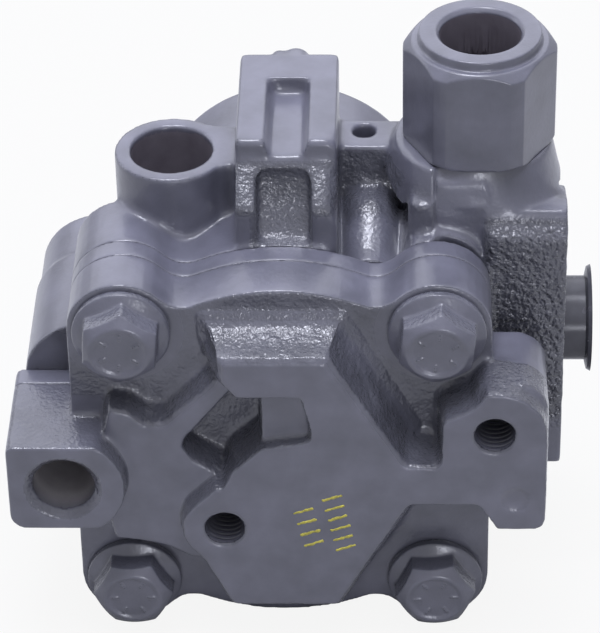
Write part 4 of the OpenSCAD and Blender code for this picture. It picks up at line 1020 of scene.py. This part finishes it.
# %% Drive shaft with its end thread
SHAFT_END, SHAFT_HOLE = 117.7, 18.0
shaft = merged_copy("drive_shaft")
at = points_of(shaft)
bore_to(at, 1, (0, 0), SHAFT_END - SHAFT_HOLE - 1, SHAFT_END + 1, TAP_CREST, TAP_ROOT, 0.05)
put_points(shaft, at)
shown_piece("turned_shaft", shaft, finishes["bright_steel"], "shaft", "drive_shaft", sharp=25)
cut_thread("shaft_thread", "shaft", finishes["bright_steel"], [(0, SHAFT_END - 0.9, 0)],
                   TAP_CREST, M8_PITCH, SHAFT_HOLE - 2, TO_REAR)

# %% [markdown]
# Two springs sit in the valve under the union. They shorten when the spool or the relief ball moves.
# Each is a copy of its CAD node with a mesh of its own, riding on a body.

# %% Valve springs
def sprung(name, node, body):
    """A spring as a finished copy of its CAD node, with a mesh of its own, riding on a body."""
    wire = merged_copy(node)
    low, high = points_of(wire)[:, 2].min(), points_of(wire)[:, 2].max()
    piece = shown_piece(name, wire, finishes["bright_steel"], body, node, sharp=60)
    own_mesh(piece)


sprung("valve_spring", "flow_control_spring", "housing")
sprung("relief_valve_spring", "relief_spring", "spool")

# %% [markdown]
# Someone at the workshop ticked the cover with a yellow paint pen. The marks are thin ribbons of paint
# on the milled face, with an uneven width. They are a tally of plain slanted dashes in two rows.

# %% Paint pen ticks
def pen_yellow():
    """Thin yellow pen paint, through which the dark paint shows in clouds."""
    made, tree, shader, where = new_material("pen_yellow")
    tree.links.new(tones(tree, spread(tree, noise(tree, where, 0.8, 3.0), 0, 1),
                         (0.30, 0.27, 0.05), (0.62, 0.55, 0.08)), shader.inputs["Base Color"])
    tree.links.new(spread(tree, noise(tree, where, 1.5), 0.4, 0.6), shader.inputs["Roughness"])
    return made


PEN_ROWS = (((9.2, -2.0), (11.6, -13.6), 6), ((4.0, -5.0), (5.8, -12.6), 4))
PEN_DASH = (3.6, 1.3)
PEN_WIDE, PEN_THICK, PEN_STEP, PEN_SHAKE = 0.8, 0.05, 0.06, 0.10


def pen_ribbon(shape, start, end, seed):
    """One stroke as a low ribbon on the plane of the rear face."""
    (x0, z0), (x1, z1) = start, end
    path = np.array([(x0 + (x1 - x0) * t, z0 + (z1 - z0) * t) for t in np.arange(0, 1, PEN_STEP)] + [end])
    path += PEN_SHAKE * np.stack([lumps(np.c_[path, path[:, :1]], 0.9, seed + k) for k in (1, 2)], 1)
    along = np.gradient(path, axis=0)
    across = np.stack([-along[:, 1], along[:, 0]], 1) / np.linalg.norm(along, axis=1)[:, None]
    wide = PEN_WIDE / 2 * (1 + 0.4 * lumps(np.c_[path, path[:, :1]], 0.5, seed + 3))
    wide[[0, -1]] *= 0.4
    rows = [[shape.verts.new((p[0] + c[0] * w * k, -PEN_THICK if k == 0 else 0.02, p[1] + c[1] * w * k))
             for k in (-1, 0, 1)] for p, c, w in zip(path, across, wide)]
    for a, b in zip(rows, rows[1:]):
        for k in (0, 1):
            shape.faces.new((a[k], a[k + 1], b[k + 1], b[k]))
    for a, b in zip(rows, rows[1:]):
        shape.faces.new((a[2], a[0], b[0], b[2]))
    shape.faces.new(rows[0][::-1])
    shape.faces.new(rows[-1])


shape = bmesh.new()
for row, (first, last, count) in enumerate(PEN_ROWS):
    for k, (x, z) in enumerate(np.linspace(first, last, count)):
        start, end = ((x + side * PEN_DASH[0] / 2, z + side * PEN_DASH[1] / 2) for side in (-1, 1))
        pen_ribbon(shape, start, end, 10 * k + 100 * row)
bmesh.ops.recalc_face_normals(shape, faces=shape.faces)
pen = bpy.data.meshes.new("pen_ticks")
shape.to_mesh(pen)
shape.free()
shown_piece("pen_ticks", pen, pen_yellow(), "housing")
